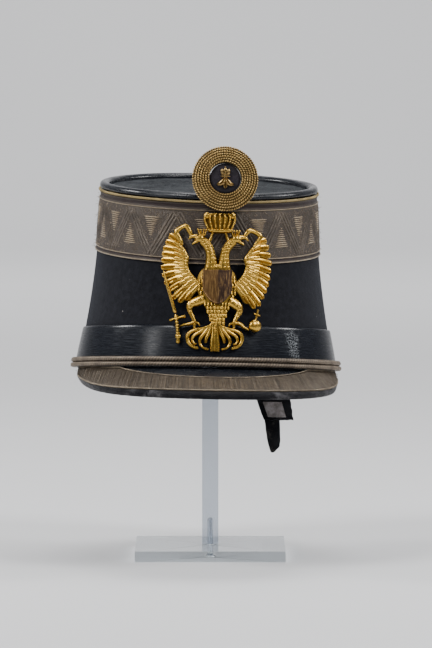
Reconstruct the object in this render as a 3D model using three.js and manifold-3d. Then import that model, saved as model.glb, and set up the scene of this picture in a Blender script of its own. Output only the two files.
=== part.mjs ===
// A 19th-century officer's shako on a clear display stand.
// Millimetres, +Z up. The hat faces -Y; the stand's base lies on Z = 0.
import * as THREE from 'three';
import { mergeVertices } from 'three/addons/utils/BufferGeometryUtils.js';
import Module from 'manifold-3d';

const wasm = await Module();
wasm.setup();

// ---------------------------------------------------------------- driving dimensions
const GAP = 0.3; // between pieces that touch
const HALF_WIDTH = 86.5; // head opening, side to side, halved
const HALF_DEPTH = 101.5; // head opening, front to back, halved
const BODY_HEIGHT = 120; // felt body, along its axis
const FELT = 2; // felt wall
const BAND_TOP = 28; // top of the lacquered lower band
const BAND_THICK = 1.2;
const LACE_BOTTOM = 79.9;
const LACE_TOP = 119.4;
const LACE_THICK = 1;
const RIM_TOP = 126; // top of the crown ring
const RIM_WIDTH = 5; // width of the crown ring on top
const DISC_SINK = 3; // how far the crown's middle lies below its ring
const CORD_RADIUS = 1.5;
const CORD_HEIGHTS = { chin_cord_lower: 1.9, chin_cord_upper: 5.3 };
const PEAK_THICK = 2.2;
const PEAK_HALF_ANGLE = 86; // degrees from the front, each way
const PEAK_SPREAD = 0.3; // how much the peak widens sideways as it runs forward
const FRONT_SLOPE = 0.1516; // backward lean of the plate and cockade
const PLATE_RADIUS = 72; // the plate's bend round the body
const PLATE_FOOT = { y: -102, height: 10 }; // where the plate's back starts its lean
const PLATE_THICK = 2;
const BREAST_RIDGE = 3.2;
const COCKADE_RADIUS = 22;
const COCKADE_HEIGHT = 123.3; // of its centre, above the rim
const COCKADE_SIDE = 4.6; // it sits a little to the right
const BASE_SIZE = 100;
const BASE_THICK = 7.2;
const POST_WIDTH = 10.9;
const SCREW_RADIUS = 1.65;
const SCREW_TOP = 24.6;
const SUPPORT_RADIUS = 32;
const SUPPORT_THICK = 4;
const HAT_LIFT = 123; // rim's centre above the table
const HAT_BACK = 20; // the hat's middle lies this far behind the post
const HAT_SIDE = -3;
const HAT_YAW = 3.9; // degrees
const HAT_PITCH = -4.9; // degrees, tipped back
const HAT_ROLL = 0.9; // degrees
const CROWN_TILT = 7.7; // degrees, crown against rim
const STEPS = 60; // facets round the body

// Sections of the body by height: half width, half depth in front and behind, and how much
// of the crown's tilt the section has taken up.
const SECTIONS = [
  { z: 0, side: HALF_WIDTH, front: HALF_DEPTH, back: HALF_DEPTH, tilt: 0 },
  { z: 8.5, side: 85.4, front: 100.2, back: 100.2, tilt: 0 },
  { z: BAND_TOP, side: 81.5, front: 96, back: 96, tilt: 0 },
  { z: 52, side: 77.8, front: 92, back: 91, tilt: 0.47 },
  { z: 79, side: 74.7, front: 88.5, back: 86, tilt: 1 },
  { z: 124.5, side: 71.9, front: 84.5, back: 80, tilt: 1 },
];

// The peak's reach and drop by angle from the front.
const PEAK_OUTLINE = [
  { angle: 0, reach: 47, drop: 18.8 },
  { angle: 20, reach: 45, drop: 18.3 },
  { angle: 40, reach: 37.5, drop: 16.6 },
  { angle: 55, reach: 26.5, drop: 14 },
  { angle: 68, reach: 14, drop: 10.6 },
  { angle: 78, reach: 6.5, drop: 7.4 },
  { angle: PEAK_HALF_ANGLE, reach: 3.6, drop: 4.6 },
];

const radians = THREE.MathUtils.degToRad;
const crownSlope = Math.tan(radians(CROWN_TILT));
const CROWN_UNDERSIDE = BODY_HEIGHT + GAP;

// ---------------------------------------------------------------- materials
const finish = (color, roughness, metalness, extra = {}) =>
  new THREE.MeshStandardMaterial({ color, roughness, metalness, ...extra });
const clear = { transparent: true, opacity: 0.35 };
const MATERIALS = {
  felt: finish(0x15161a, 0.95, 0),
  lacquer: finish(0x0c0e13, 0.2, 0),
  crownLeather: finish(0x3d4146, 0.6, 0),
  lace: finish(0x5a5047, 0.6, 0.5),
  goldThread: finish(0x8a7654, 0.5, 0.6),
  cord: finish(0x5f5248, 0.55, 0.5),
  gilt: finish(0xc79a35, 0.35, 1),
  shield: finish(0x4e3926, 0.5, 0.4),
  purl: finish(0xb18a4a, 0.4, 0.9),
  velvet: finish(0x201a1e, 0.95, 0),
  strap: finish(0x0d0d0f, 0.5, 0),
  label: finish(0x5a5552, 0.9, 0),
  acrylic: finish(0xdfe8ec, 0.05, 0, clear),
  steel: finish(0x9a9a9a, 0.3, 1),
};

// ---------------------------------------------------------------- mesh helpers
function interpolate(rows, key, at, field) {
  if (at <= rows[0][key]) return rows[0][field];
  const upper = rows.findIndex((row) => row[key] >= at);
  if (upper < 0) return rows[rows.length - 1][field];
  const [a, b] = [rows[upper - 1], rows[upper]];
  return THREE.MathUtils.mapLinear(at, a[key], b[key], a[field], b[field]);
}

function signedVolume(positions, index) {
  const [a, b, c] = [new THREE.Vector3(), new THREE.Vector3(), new THREE.Vector3()];
  let volume = 0;
  for (let i = 0; i < index.length; i += 3) {
    a.fromArray(positions, 3 * index[i]);
    b.fromArray(positions, 3 * index[i + 1]);
    c.fromArray(positions, 3 * index[i + 2]);
    volume += a.dot(b.cross(c));
  }
  return volume;
}

function closedGeometry(points, index) {
  const positions = points.flatMap((point) => point.toArray());
  if (signedVolume(positions, index) < 0) index.reverse();
  const geometry = new THREE.BufferGeometry();
  geometry.setAttribute('position', new THREE.Float32BufferAttribute(positions, 3));
  geometry.setIndex(index);
  return geometry;
}

// Skins a row of sections. Each section is a closed loop of points; the row either closes on
// itself or ends in a fan of triangles at each end.
function loft(sections, closed) {
  const count = sections[0].length;
  const points = sections.flat();
  const index = [];
  const spans = closed ? sections.length : sections.length - 1;
  for (let i = 0; i < spans; i += 1) {
    const here = i * count;
    const next = ((i + 1) % sections.length) * count;
    for (let j = 0; j < count; j += 1) {
      const k = (j + 1) % count;
      index.push(here + j, next + j, next + k, here + j, next + k, here + k);
    }
  }
  if (!closed) {
    [0, sections.length - 1].forEach((end) => {
      const centre = new THREE.Vector3();
      sections[end].forEach((point) => centre.addScaledVector(point, 1 / count));
      const hub = points.push(centre) - 1;
      for (let j = 0; j < count; j += 1) {
        const k = (j + 1) % count;
        const [first, second] = end === 0 ? [j, k] : [k, j];
        index.push(hub, end * count + first, end * count + second);
      }
    });
  }
  return closedGeometry(points, index);
}

function toSolid(geometry) {
  const bare = geometry.clone();
  bare.deleteAttribute('normal');
  bare.deleteAttribute('uv');
  const welded = mergeVertices(bare, 1e-4);
  return new wasm.Manifold(new wasm.Mesh({
    numProp: 3,
    vertProperties: new Float32Array(welded.attributes.position.array),
    triVerts: new Uint32Array(welded.index.array),
  }));
}

function toGeometry(solid) {
  const mesh = solid.getMesh();
  const geometry = new THREE.BufferGeometry();
  geometry.setAttribute('position', new THREE.Float32BufferAttribute(mesh.vertProperties, 3));
  geometry.setIndex(new THREE.Uint32BufferAttribute(mesh.triVerts, 1));
  return geometry;
}

const joined = (geometries) => toGeometry(geometries.map(toSolid).reduce((sum, next) => sum.add(next)));
const cut = (geometry, cutter) => toGeometry(toSolid(geometry).subtract(toSolid(cutter)));

function mesh(name, geometry, material) {
  const result = new THREE.Mesh(geometry, material);
  result.name = name;
  return result;
}

// ---------------------------------------------------------------- the body's surface
// The point at an angle from the front (towards +X), at a height, standing proud by an offset.
function wallPoint(angle, z, offset) {
  const section = (field) => interpolate(SECTIONS, 'z', z, field);
  const [front, back] = [section('front'), section('back')];
  const x = (section('side') + offset) * Math.sin(angle);
  const y = (back - front) / 2 - ((front + back) / 2 + offset) * Math.cos(angle);
  return new THREE.Vector3(x, y, z + y * Math.tan(radians(CROWN_TILT) * section('tilt')));
}

// A ring round the body from a profile of [height, offset] pairs.
function bodyRing(profile) {
  const sections = [];
  for (let i = 0; i < STEPS; i += 1) {
    const angle = (i / STEPS) * 2 * Math.PI;
    sections.push(profile.map(([z, offset]) => wallPoint(angle, z, offset)));
  }
  return loft(sections, true);
}

// A disc across the body: loops of [height, offset] from the middle's underside to its top.
function bodyDisc(profile, bottom, top) {
  const loops = profile.map(([z, offset]) => {
    const loop = [];
    for (let i = 0; i < STEPS; i += 1) loop.push(wallPoint((i / STEPS) * 2 * Math.PI, z, offset));
    return loop;
  });
  const geometry = loft(loops, false);
  const positions = geometry.attributes.position;
  const hubs = [STEPS * loops.length, STEPS * loops.length + 1];
  [bottom, top].forEach((z, i) => positions.setZ(hubs[i], z + positions.getY(hubs[i]) * crownSlope));
  return geometry;
}

function bodyPieces() {
  const heights = SECTIONS.map((row) => Math.min(row.z, BODY_HEIGHT));
  const outside = heights.map((z) => [z, 0]);
  const inside = heights.map((z) => [z, -FELT]).reverse();
  const shell = bodyRing([...outside, ...inside]);

  const bandOut = GAP + BAND_THICK;
  const band = bodyRing([[0.4, GAP], [0.4, bandOut], [8.5, bandOut], [BAND_TOP - 1, bandOut],
    [BAND_TOP - 0.4, bandOut - 0.5], [BAND_TOP - 0.4, GAP], [8.5, GAP]]);

  const laceOut = GAP + LACE_THICK;
  const lace = bodyRing([[LACE_BOTTOM, GAP], [LACE_BOTTOM, laceOut], [LACE_TOP, laceOut],
    [LACE_TOP, GAP]]);
  const edgeHeight = LACE_TOP + GAP + 0.9;
  const edgeCord = bodyRing(circleProfile(edgeHeight, 1.3, 0.9, 6));
  return [
    mesh('body_shell', shell, MATERIALS.felt),
    mesh('lower_band', band, MATERIALS.lacquer),
    mesh('lace_band', lace, MATERIALS.lace),
    mesh('lace_edge_cord', edgeCord, MATERIALS.goldThread),
  ];
}

function circleProfile(z, offset, radius, sides) {
  const profile = [];
  for (let i = 0; i < sides; i += 1) {
    const turn = (i / sides) * 2 * Math.PI;
    profile.push([z + radius * Math.sin(turn), offset + radius * Math.cos(turn)]);
  }
  return profile;
}

// ---------------------------------------------------------------- crown
function crownPieces() {
  const foot = LACE_TOP + 2 * GAP + 1.8; // just above the edge cord
  const seat = BODY_HEIGHT + GAP;
  const rim = bodyRing([
    [seat, -0.4], [foot, 0.2], [foot + 0.9, 1.5], [RIM_TOP - 1.6, 1.3], [RIM_TOP - 0.4, 0.3],
    [RIM_TOP, -1.8], [RIM_TOP - 0.6, -RIM_WIDTH + 1.2], [RIM_TOP - 2, -RIM_WIDTH],
    [seat, -RIM_WIDTH],
  ]);
  const discTop = RIM_TOP - DISC_SINK;
  const discBottom = CROWN_UNDERSIDE;
  const discEdge = -RIM_WIDTH - GAP;
  const shrink = -40;
  const disc = bodyDisc([
    [discBottom, shrink], [discBottom, discEdge], [discTop, discEdge], [discTop, shrink],
  ], discBottom, discTop);
  return [
    mesh('crown_rim', rim, MATERIALS.lacquer),
    mesh('crown_disc', disc, MATERIALS.crownLeather),
  ];
}

// ---------------------------------------------------------------- cords round the foot
function cordPieces() {
  return Object.entries(CORD_HEIGHTS).map(([name, height]) => {
    const offset = 2 * GAP + BAND_THICK + CORD_RADIUS;
    return mesh(name, bodyRing(circleProfile(height, offset, CORD_RADIUS, 6)), MATERIALS.cord);
  });
}

// ---------------------------------------------------------------- peak
// The point on the peak's upper face: angle from the front in degrees, and how far out, 0 to 1.
function peakPoint(angle, out, lift = 0) {
  const at = (field) => interpolate(PEAK_OUTLINE, 'angle', Math.abs(angle), field);
  const turn = radians(angle);
  const normal = new THREE.Vector2(Math.sin(turn) / HALF_WIDTH, -Math.cos(turn) / HALF_DEPTH);
  normal.normalize();
  const reach = at('reach') * out;
  const fall = at('drop') * (0.85 * out + 0.15 * out * out);
  const run = Math.hypot(at('reach'), at('drop'));
  const lean = at('drop') / run;
  const away = new THREE.Vector2(normal.x * PEAK_SPREAD, -1).normalize();
  return new THREE.Vector3(
    HALF_WIDTH * Math.sin(turn) + away.x * (reach + lift * lean),
    -HALF_DEPTH * Math.cos(turn) + away.y * (reach + lift * lean),
    -GAP - fall + lift * (at('reach') / run),
  );
}

function peakBand(limit, steps, section) {
  const sections = [];
  for (let i = 0; i <= steps; i += 1) {
    const angle = THREE.MathUtils.lerp(-limit, limit, i / steps);
    sections.push(section(angle).map(([out, lift]) => peakPoint(angle, out, lift)));
  }
  return loft(sections, false);
}

// The thread strip starts at the cords near the ends and clears a lens of leather in front.
function stripInner(angle) {
  const share = Math.cos(radians(angle * 1.95));
  return Math.max(0.1, 0.45 * Math.sqrt(Math.max(share, 0)));
}

// Its outer edge runs closer to the peak's edge at the sides than in front.
function stripOuter(angle) {
  return 0.89 + 0.05 * THREE.MathUtils.smoothstep(Math.abs(angle), 15, 65);
}

function peakPieces() {
  const edge = 0.96; // the leather ends inside its binding
  const peak = peakBand(PEAK_HALF_ANGLE, 36, () => [
    [0, 0], [0.35, 0], [0.7, 0], [edge, 0],
    [edge, -PEAK_THICK], [0.7, -PEAK_THICK], [0.35, -PEAK_THICK], [0, -PEAK_THICK],
  ]);
  const strip = peakBand(PEAK_HALF_ANGLE - 2, 36, (angle) => {
    const inner = stripInner(angle);
    const outer = stripOuter(angle);
    const middle = (inner + outer) / 2;
    return [
      [inner, GAP], [inner, 1], [middle, 1.2], [outer, 1], [outer, GAP], [middle, GAP],
    ];
  });
  const binding = peakBand(PEAK_HALF_ANGLE - 1, 36, (angle) => {
    const start = stripOuter(angle) + 0.015;
    return [
      [start, GAP], [start, 1.1], [(start + 1) / 2, 1.3], [1, 0.4], [1.02, -PEAK_THICK / 2],
      [1.01, -PEAK_THICK - 0.4], [0.985, -PEAK_THICK - 0.6], [0.975, GAP],
    ];
  });
  return [
    mesh('peak', peak, MATERIALS.lacquer),
    mesh('peak_lace', strip, MATERIALS.goldThread),
    mesh('peak_binding', binding, MATERIALS.lacquer),
  ];
}

// ---------------------------------------------------------------- the front's own frame
// A point in front of the body: sideways, height above the rim, and distance out from the
// plate's back. The plate leans with the body and bends round it.
function frontPoint(x, height, out) {
  const lean = Math.atan(FRONT_SLOPE);
  const bend = (x * x) / (2 * PLATE_RADIUS);
  const back = PLATE_FOOT.y + FRONT_SLOPE * (height - PLATE_FOOT.height) + bend;
  return new THREE.Vector3(x, back - out * Math.cos(lean), height + out * Math.sin(lean));
}

function bentToFront(geometry) {
  const positions = geometry.attributes.position;
  const point = new THREE.Vector3();
  for (let i = 0; i < positions.count; i += 1) {
    point.fromBufferAttribute(positions, i);
    positions.setXYZ(i, ...frontPoint(point.x, point.y, point.z).toArray());
  }
  return geometry;
}

// A tapering bar of the plate with a peaked section: stations hold x, height and half width.
function bar(stations, base = 0, ridge = PLATE_THICK) {
  const sections = stations.map(({ x, h, w }, i) => {
    const before = stations[Math.max(i - 1, 0)];
    const after = stations[Math.min(i + 1, stations.length - 1)];
    const along = new THREE.Vector2(after.x - before.x, after.h - before.h).normalize();
    const [sx, sy] = [-along.y * w, along.x * w];
    return [
      new THREE.Vector3(x - sx, h - sy, base),
      new THREE.Vector3(x + sx, h + sy, base),
      new THREE.Vector3(x + sx, h + sy, base + ridge * 0.6),
      new THREE.Vector3(x, h, base + ridge),
      new THREE.Vector3(x - sx, h - sy, base + ridge * 0.6),
    ];
  });
  return loft(sections, false);
}

const mirrored = (stations) => stations.map((row) => ({ ...row, x: -row.x })).reverse();

// ---------------------------------------------------------------- eagle plate
// The feathers of a wing fan out from its arm: root and tip of each, from top to bottom.
const FEATHERS = [
  { rootX: 24, rootH: 78, tipX: 31.5, tipH: 87 },
  { rootX: 23.5, rootH: 75, tipX: 34, tipH: 81 },
  { rootX: 23, rootH: 71, tipX: 35.8, tipH: 74.5 },
  { rootX: 22, rootH: 67, tipX: 36.5, tipH: 68 },
  { rootX: 20.5, rootH: 63.5, tipX: 36.4, tipH: 61.5 },
  { rootX: 19, rootH: 60.5, tipX: 35.4, tipH: 55.5 },
  { rootX: 17.5, rootH: 58, tipX: 34, tipH: 50 },
  { rootX: 16, rootH: 56, tipX: 31.8, tipH: 45 },
  { rootX: 14.5, rootH: 54, tipX: 28.8, tipH: 40.5 },
  { rootX: 13, rootH: 52, tipX: 25, tipH: 39.5 },
];
const TAIL_TIPS = [
  { x: 0, h: 9.8 }, { x: 5.5, h: 10.6 }, { x: 11, h: 12.4 }, { x: 15.5, h: 16 },
];
const STRAIGHT_PARTS = [
  // necks, from the shield's top out to the heads and beaks
  [{ x: 3.4, h: 62, w: 3.2 }, { x: 4.2, h: 72, w: 2.6 }, { x: 6.5, h: 79, w: 2.6 },
    { x: 11, h: 83.5, w: 3 }, { x: 16, h: 83.6, w: 1.8 }, { x: 20, h: 82.6, w: 0.6 }],
  // small crown on each head
  [{ x: 12.2, h: 85.5, w: 2 }, { x: 13, h: 90, w: 3 }],
  // ribbon below the large crown
  [{ x: 2.6, h: 89.5, w: 1 }, { x: 6.2, h: 81.8, w: 1.4 }],
  // curled bar at the wing's top
  [{ x: 17.6, h: 84, w: 1.4 }, { x: 20.4, h: 92, w: 1.5 }, { x: 24, h: 92.6, w: 1.5 },
    { x: 29, h: 88.4, w: 1.8 }, { x: 25, h: 80, w: 2 }],
  // arm of the wing
  [{ x: 25.5, h: 82, w: 2 }, { x: 21, h: 75, w: 3 }, { x: 21.6, h: 68, w: 3.4 },
    { x: 17, h: 61, w: 4.4 }, { x: 9, h: 54, w: 7 }],
  // leg and claw
  [{ x: 7, h: 45, w: 3 }, { x: 14.5, h: 40.5, w: 3.6 }, { x: 13.4, h: 33, w: 1.8 },
    { x: 16.8, h: 26.5, w: 1.6 }, { x: 21.5, h: 24.5, w: 1.6 }],
];
// Bars that have no mirror image: their stations, how far out their backs lie, and their ridges.
const SINGLE_BARS = [
  // large crown
  { base: 0,
    ridge: 3.6,
    stations: [{ x: 1.4, h: 88.6, w: 8.4 }, { x: 1.4, h: 92.4, w: 8.4 }, { x: 1.4, h: 98, w: 10.4 },
      { x: 1.4, h: 101.2, w: 8.6 }, { x: 1.4, h: 102.4, w: 3 }] },
  // breast and belly
  { base: 0,
    ridge: BREAST_RIDGE,
    stations: [{ x: 0, h: 66, w: 7 }, { x: 0, h: 60, w: 12.5 }, { x: 0, h: 48, w: 13.5 },
      { x: 0, h: 38, w: 7.5 }, { x: 0, h: 30, w: 5 }] },
  // sword
  { base: 0.4,
    ridge: 2.4,
    stations: [{ x: -33, h: 62, w: 1 }, { x: -25.4, h: 20, w: 1.2 }, { x: -24.9, h: 13, w: 1.4 }] },
  // its crossguard, and the claw that grips it
  { base: 0.4, ridge: 2.4, stations: [{ x: -30, h: 29.6, w: 1.1 }, { x: -19.6, h: 33, w: 1.1 }] },
  { base: 0.2, ridge: 2.2, stations: [{ x: -26, h: 24.6, w: 1.3 }, { x: -14.4, h: 29, w: 1.3 }] },
  // cross on the orb
  { base: 0, ridge: 2, stations: [{ x: 25.8, h: 30, w: 0.9 }, { x: 27.4, h: 38.5, w: 2 }] },
];
const ORB = { x: 25.5, h: 27.6, out: 3, radius: 4.4 };

function eaglePlate() {
  const half = [...STRAIGHT_PARTS];
  FEATHERS.forEach(({ rootX, rootH, tipX, tipH }) => half.push([
    { x: rootX, h: rootH, w: 1.6 },
    { x: THREE.MathUtils.lerp(rootX, tipX, 0.55), h: THREE.MathUtils.lerp(rootH, tipH, 0.55), w: 2.6 },
    { x: tipX, h: tipH, w: 1.7 },
  ]));
  TAIL_TIPS.forEach(({ x, h }) => half.push([
    { x: 0, h: 36, w: 2.4 },
    { x: x * 0.35, h: 26, w: 2.6 },
    { x, h, w: 1.9 },
  ]));
  const bars = half.flatMap((stations) => [bar(stations), bar(mirrored(stations))]);
  SINGLE_BARS.forEach(({ stations, base, ridge }) => bars.push(bar(stations, base, ridge)));
  const orb = new THREE.SphereGeometry(ORB.radius, 12, 8);
  orb.translate(ORB.x, ORB.h, ORB.out);
  bars.push(orb);
  const solids = bars.map((geometry) => bentToFront(geometry));
  return joined(solids);
}

function shieldOutline(halfWidth, top, bottom) {
  const shape = new THREE.Shape();
  const shoulder = bottom + (top - bottom) * 0.42;
  shape.moveTo(-halfWidth, top);
  shape.lineTo(-halfWidth, shoulder);
  shape.quadraticCurveTo(-halfWidth, bottom + 2.4, 0, bottom);
  shape.quadraticCurveTo(halfWidth, bottom + 2.4, halfWidth, shoulder);
  shape.lineTo(halfWidth, top);
  shape.closePath();
  return shape;
}

function eaglePieces() {
  const back = BREAST_RIDGE + GAP + 0.7; // its flat back spans the bent plate
  const shield = new THREE.ExtrudeGeometry(shieldOutline(9.7, 63.6, 39.6), {
    depth: 1.6, bevelEnabled: false, curveSegments: 8,
  });
  shield.translate(0, 0, back);
  return [
    mesh('eagle', eaglePlate(), MATERIALS.gilt),
    mesh('eagle_shield', bentToFront(shield), MATERIALS.shield),
  ];
}

// ---------------------------------------------------------------- cockade
function cockadePieces() {
  const back = 4.4; // clear of the large crown of the plate
  const inner = 10.4;
  const dome = (share) => new THREE.Vector2(
    THREE.MathUtils.lerp(inner, COCKADE_RADIUS, share),
    1.2 + 4.4 * Math.sqrt(1 - share * share),
  );
  const profile = [
    new THREE.Vector2(inner, 0),
    new THREE.Vector2(COCKADE_RADIUS - 0.6, 0),
    ...[1, 0.85, 0.6, 0.3, 0].map(dome),
    new THREE.Vector2(inner, 0),
  ];
  const disc = new THREE.CylinderGeometry(inner - GAP, inner - GAP, 3.4, 32);
  disc.translate(0, 1.7, 0);

  // Three drooping leaves under a knob: a plain ornament, raised on the disc.
  const leaves = [-1, 0, 1].map((side) => {
    const leaf = new THREE.SphereGeometry(1, 8, 5);
    leaf.scale(1.5, 0.9, 3.8);
    leaf.translate(0, 4.6, 3.6);
    leaf.rotateY(radians(40 * side));
    return leaf;
  });
  const knob = new THREE.SphereGeometry(1, 10, 6);
  knob.scale(2.9, 1.1, 2.8);
  knob.translate(0, 4.8, -4.4);
  const neck = new THREE.BoxGeometry(2.2, 1.2, 5.6);
  neck.translate(0, 4.5, -1);
  const stem = new THREE.CylinderGeometry(3, 3, 3.2, 12);
  stem.translate(0, -1.6 - GAP, 10);

  // The lathe's axis turns to point forward and a little up, square to the front's lean.
  const place = (name, geometry, material) => {
    const piece = mesh(name, geometry, material);
    piece.rotation.x = Math.PI - Math.atan(FRONT_SLOPE);
    piece.position.copy(frontPoint(0, COCKADE_HEIGHT, back)).setX(COCKADE_SIDE);
    return piece;
  };
  return [
    place('cockade_rings', new THREE.LatheGeometry(profile, 40), MATERIALS.purl),
    place('cockade_disc', disc, MATERIALS.velvet),
    place('cockade_ornament', joined([...leaves, knob, neck]), MATERIALS.gilt),
    place('cockade_stem', stem, MATERIALS.steel),
  ];
}

// ---------------------------------------------------------------- loose strap inside the back
// Its sections from top to bottom, in the hat's frame: the left and right edge, how far back,
// the height, and how far it is turned to follow the wall, in degrees. The top is sewn to the
// wall; below the rim the strap hangs free.
const FLAP = [
  { left: 30, right: 50, y: 81.1, z: 16, turn: 33 },
  { left: 36, right: 57, y: 74, z: -1, turn: 25 },
  { left: 40.8, right: 63.1, y: 70, z: -20, turn: 16 },
  { left: 43, right: 64.5, y: 69, z: -27, turn: 8 },
  { left: 45.2, right: 65.4, y: 68, z: -33, turn: 0 },
];
const TONGUE = [
  { left: 45, right: 55.6, y: 72, z: -23, turn: 12 },
  { left: 46, right: 56.3, y: 70.2, z: -34.5, turn: 4 },
  { left: 47.9, right: 56.7, y: 69.6, z: -46.7, turn: 0 },
  { left: 49.1, right: 56, y: 69.3, z: -51.5, turn: 0 },
  { left: 50.4, right: 52.2, y: 69, z: -55.3, turn: 0 },
];
const LABEL = [
  { left: 44.2, right: 57.2, y: 68.6, z: -20.5, turn: 8 },
  { left: 48, right: 60.2, y: 66.9, z: -31, turn: 8 },
];

// A strap bends as one sheet: each section is as thick as the leather.
function strapGeometry(rows, thick) {
  const sections = rows.map(({ left, right, y, z, turn }) => {
    const slant = ((right - left) / 2) * Math.tan(radians(turn));
    return [
      new THREE.Vector3(left, y + slant, z),
      new THREE.Vector3(right, y - slant, z),
      new THREE.Vector3(right, y - slant + thick, z),
      new THREE.Vector3(left, y + slant + thick, z),
    ];
  });
  return loft(sections, false);
}

function strapPieces() {
  const leather = 1.5;
  return [
    mesh('strap_flap', strapGeometry(FLAP, leather), MATERIALS.strap),
    mesh('strap_tongue', strapGeometry(TONGUE, leather), MATERIALS.strap),
    mesh('strap_label', strapGeometry(LABEL, 0.5), MATERIALS.label),
  ];
}

// ---------------------------------------------------------------- stand
function standPieces(postTop) {
  const base = new THREE.BoxGeometry(BASE_SIZE, BASE_SIZE, BASE_THICK);
  base.translate(0, 0, BASE_THICK / 2);
  const postFoot = BASE_THICK + GAP;
  const post = new THREE.BoxGeometry(POST_WIDTH, POST_WIDTH, postTop - postFoot);
  post.translate(0, 0, (postTop + postFoot) / 2);

  // The screw's head is sunk in the base's underside; its clearance is cut from both pieces.
  const headDepth = 2.2;
  const screwProfile = (grow) => [
    new THREE.Vector2(0, grow > 0 ? -1 : GAP),
    new THREE.Vector2(SCREW_RADIUS * 2.1 + grow, grow > 0 ? -1 : GAP),
    new THREE.Vector2(SCREW_RADIUS * 2.1 + grow, GAP + 0.4 + grow),
    new THREE.Vector2(SCREW_RADIUS + grow, headDepth + grow),
    new THREE.Vector2(SCREW_RADIUS + grow, SCREW_TOP - 1.2 + grow),
    new THREE.Vector2(SCREW_RADIUS * 0.5 + grow, SCREW_TOP + grow),
    new THREE.Vector2(0, SCREW_TOP + grow),
  ];
  const upright = (profile) => new THREE.LatheGeometry(profile, 24).rotateX(Math.PI / 2);
  const clearance = upright(screwProfile(GAP));
  return [
    mesh('stand_base', cut(base, clearance), MATERIALS.acrylic),
    mesh('stand_post', cut(post, clearance), MATERIALS.acrylic),
    mesh('stand_screw', upright(screwProfile(0)), MATERIALS.steel),
  ];
}

// The plain disc that carries the crown: it lies along the crown's underside, over the post.
function supportPiece(sideways, back) {
  const disc = new THREE.CylinderGeometry(SUPPORT_RADIUS, SUPPORT_RADIUS, SUPPORT_THICK, 48);
  disc.rotateX(Math.PI / 2);
  const piece = mesh('crown_support', disc, MATERIALS.acrylic);
  piece.rotation.x = radians(CROWN_TILT);
  const drop = (GAP + SUPPORT_THICK / 2) / Math.cos(radians(CROWN_TILT));
  piece.position.set(sideways, back, CROWN_UNDERSIDE + back * crownSlope - drop);
  return piece;
}

// ---------------------------------------------------------------- export
const hat = new THREE.Group();
hat.rotation.set(radians(HAT_PITCH), radians(HAT_ROLL), radians(HAT_YAW), 'YXZ');
hat.position.set(HAT_SIDE, HAT_BACK, HAT_LIFT);
const support = supportPiece(0, -HAT_BACK + CROWN_UNDERSIDE * Math.sin(radians(HAT_PITCH)));
hat.add(...bodyPieces(), ...crownPieces(), ...cordPieces(), ...peakPieces(), ...eaglePieces(),
  ...cockadePieces(), ...strapPieces(), support);
hat.updateMatrixWorld(true);
const supportBox = new THREE.Box3().setFromObject(support, true);
const lean = POST_WIDTH * Math.tan(radians(CROWN_TILT + HAT_PITCH));
const supportMiddle = (supportBox.min.z + supportBox.max.z) / 2;
const postTop = supportMiddle - SUPPORT_THICK / 2 - GAP - lean;

const model = new THREE.Group();
model.add(hat, ...standPieces(postTop));

// The origin is the middle of the whole thing's footprint, on the table.
const footprint = new THREE.Box3().setFromObject(model, true).getCenter(new THREE.Vector3());
model.position.set(-footprint.x, -footprint.y, 0);
export default model;
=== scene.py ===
# A 19th-century officer's shako on a clear stand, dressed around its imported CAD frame.
import functools
import math
import random

import bmesh
import bpy
from mathutils import Matrix, Vector, noise


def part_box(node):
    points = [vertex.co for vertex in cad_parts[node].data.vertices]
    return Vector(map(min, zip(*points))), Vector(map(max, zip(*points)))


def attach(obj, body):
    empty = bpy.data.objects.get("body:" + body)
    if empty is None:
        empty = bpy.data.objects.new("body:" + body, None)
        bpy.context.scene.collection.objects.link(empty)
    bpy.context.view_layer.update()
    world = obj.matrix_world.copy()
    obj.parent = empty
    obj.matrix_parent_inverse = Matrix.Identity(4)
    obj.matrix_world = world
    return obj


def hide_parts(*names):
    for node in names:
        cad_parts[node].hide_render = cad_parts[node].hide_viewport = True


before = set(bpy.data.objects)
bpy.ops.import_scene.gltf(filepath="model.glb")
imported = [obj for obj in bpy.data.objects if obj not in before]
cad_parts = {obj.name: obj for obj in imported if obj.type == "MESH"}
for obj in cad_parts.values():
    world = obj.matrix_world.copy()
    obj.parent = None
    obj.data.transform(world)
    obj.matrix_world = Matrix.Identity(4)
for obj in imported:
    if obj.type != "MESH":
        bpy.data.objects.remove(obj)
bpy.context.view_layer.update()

bl_info = {
    "name": "Officer's shako",
    "version": (1, 0, 0),
    "blender": (4, 5, 0),
    "location": "View3D > Sidebar > Shako",
    "description": "Builds a felt shako with lace, eagle plate, cockade, cords and peak on a clear stand",
    "category": "Add Mesh",
}

MM = 0.001
WELD = 1e-7
TAU = 2 * math.pi


def middle(node):
    low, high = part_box(node)
    return (Vector(low) + Vector(high)) / 2


# ---------------------------------------------------------------- the hat's own frame
# Millimetres inside the hat: its rim lies on z = 0 and it faces -Y. The hat is turned, tipped
# back and leans a little on the stand.
BASE = middle("stand_base")
HAT_PLACE = (-3.0, 20.0, 123.0)
HAT_YAW, HAT_PITCH, HAT_ROLL = 3.9, -4.9, 0.9
CROWN_TILT = 7.7
GAP = 0.3

HAT = (
    Matrix.Translation(Vector((BASE.x, BASE.y, 0)) + Vector(HAT_PLACE) * MM)
    @ Matrix.Rotation(math.radians(HAT_ROLL), 4, "Y")
    @ Matrix.Rotation(math.radians(HAT_PITCH), 4, "X")
    @ Matrix.Rotation(math.radians(HAT_YAW), 4, "Z")
    @ Matrix.Scale(MM, 4)
)


def hat_point(x, y, z):
    return HAT @ Vector((x, y, z))


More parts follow.
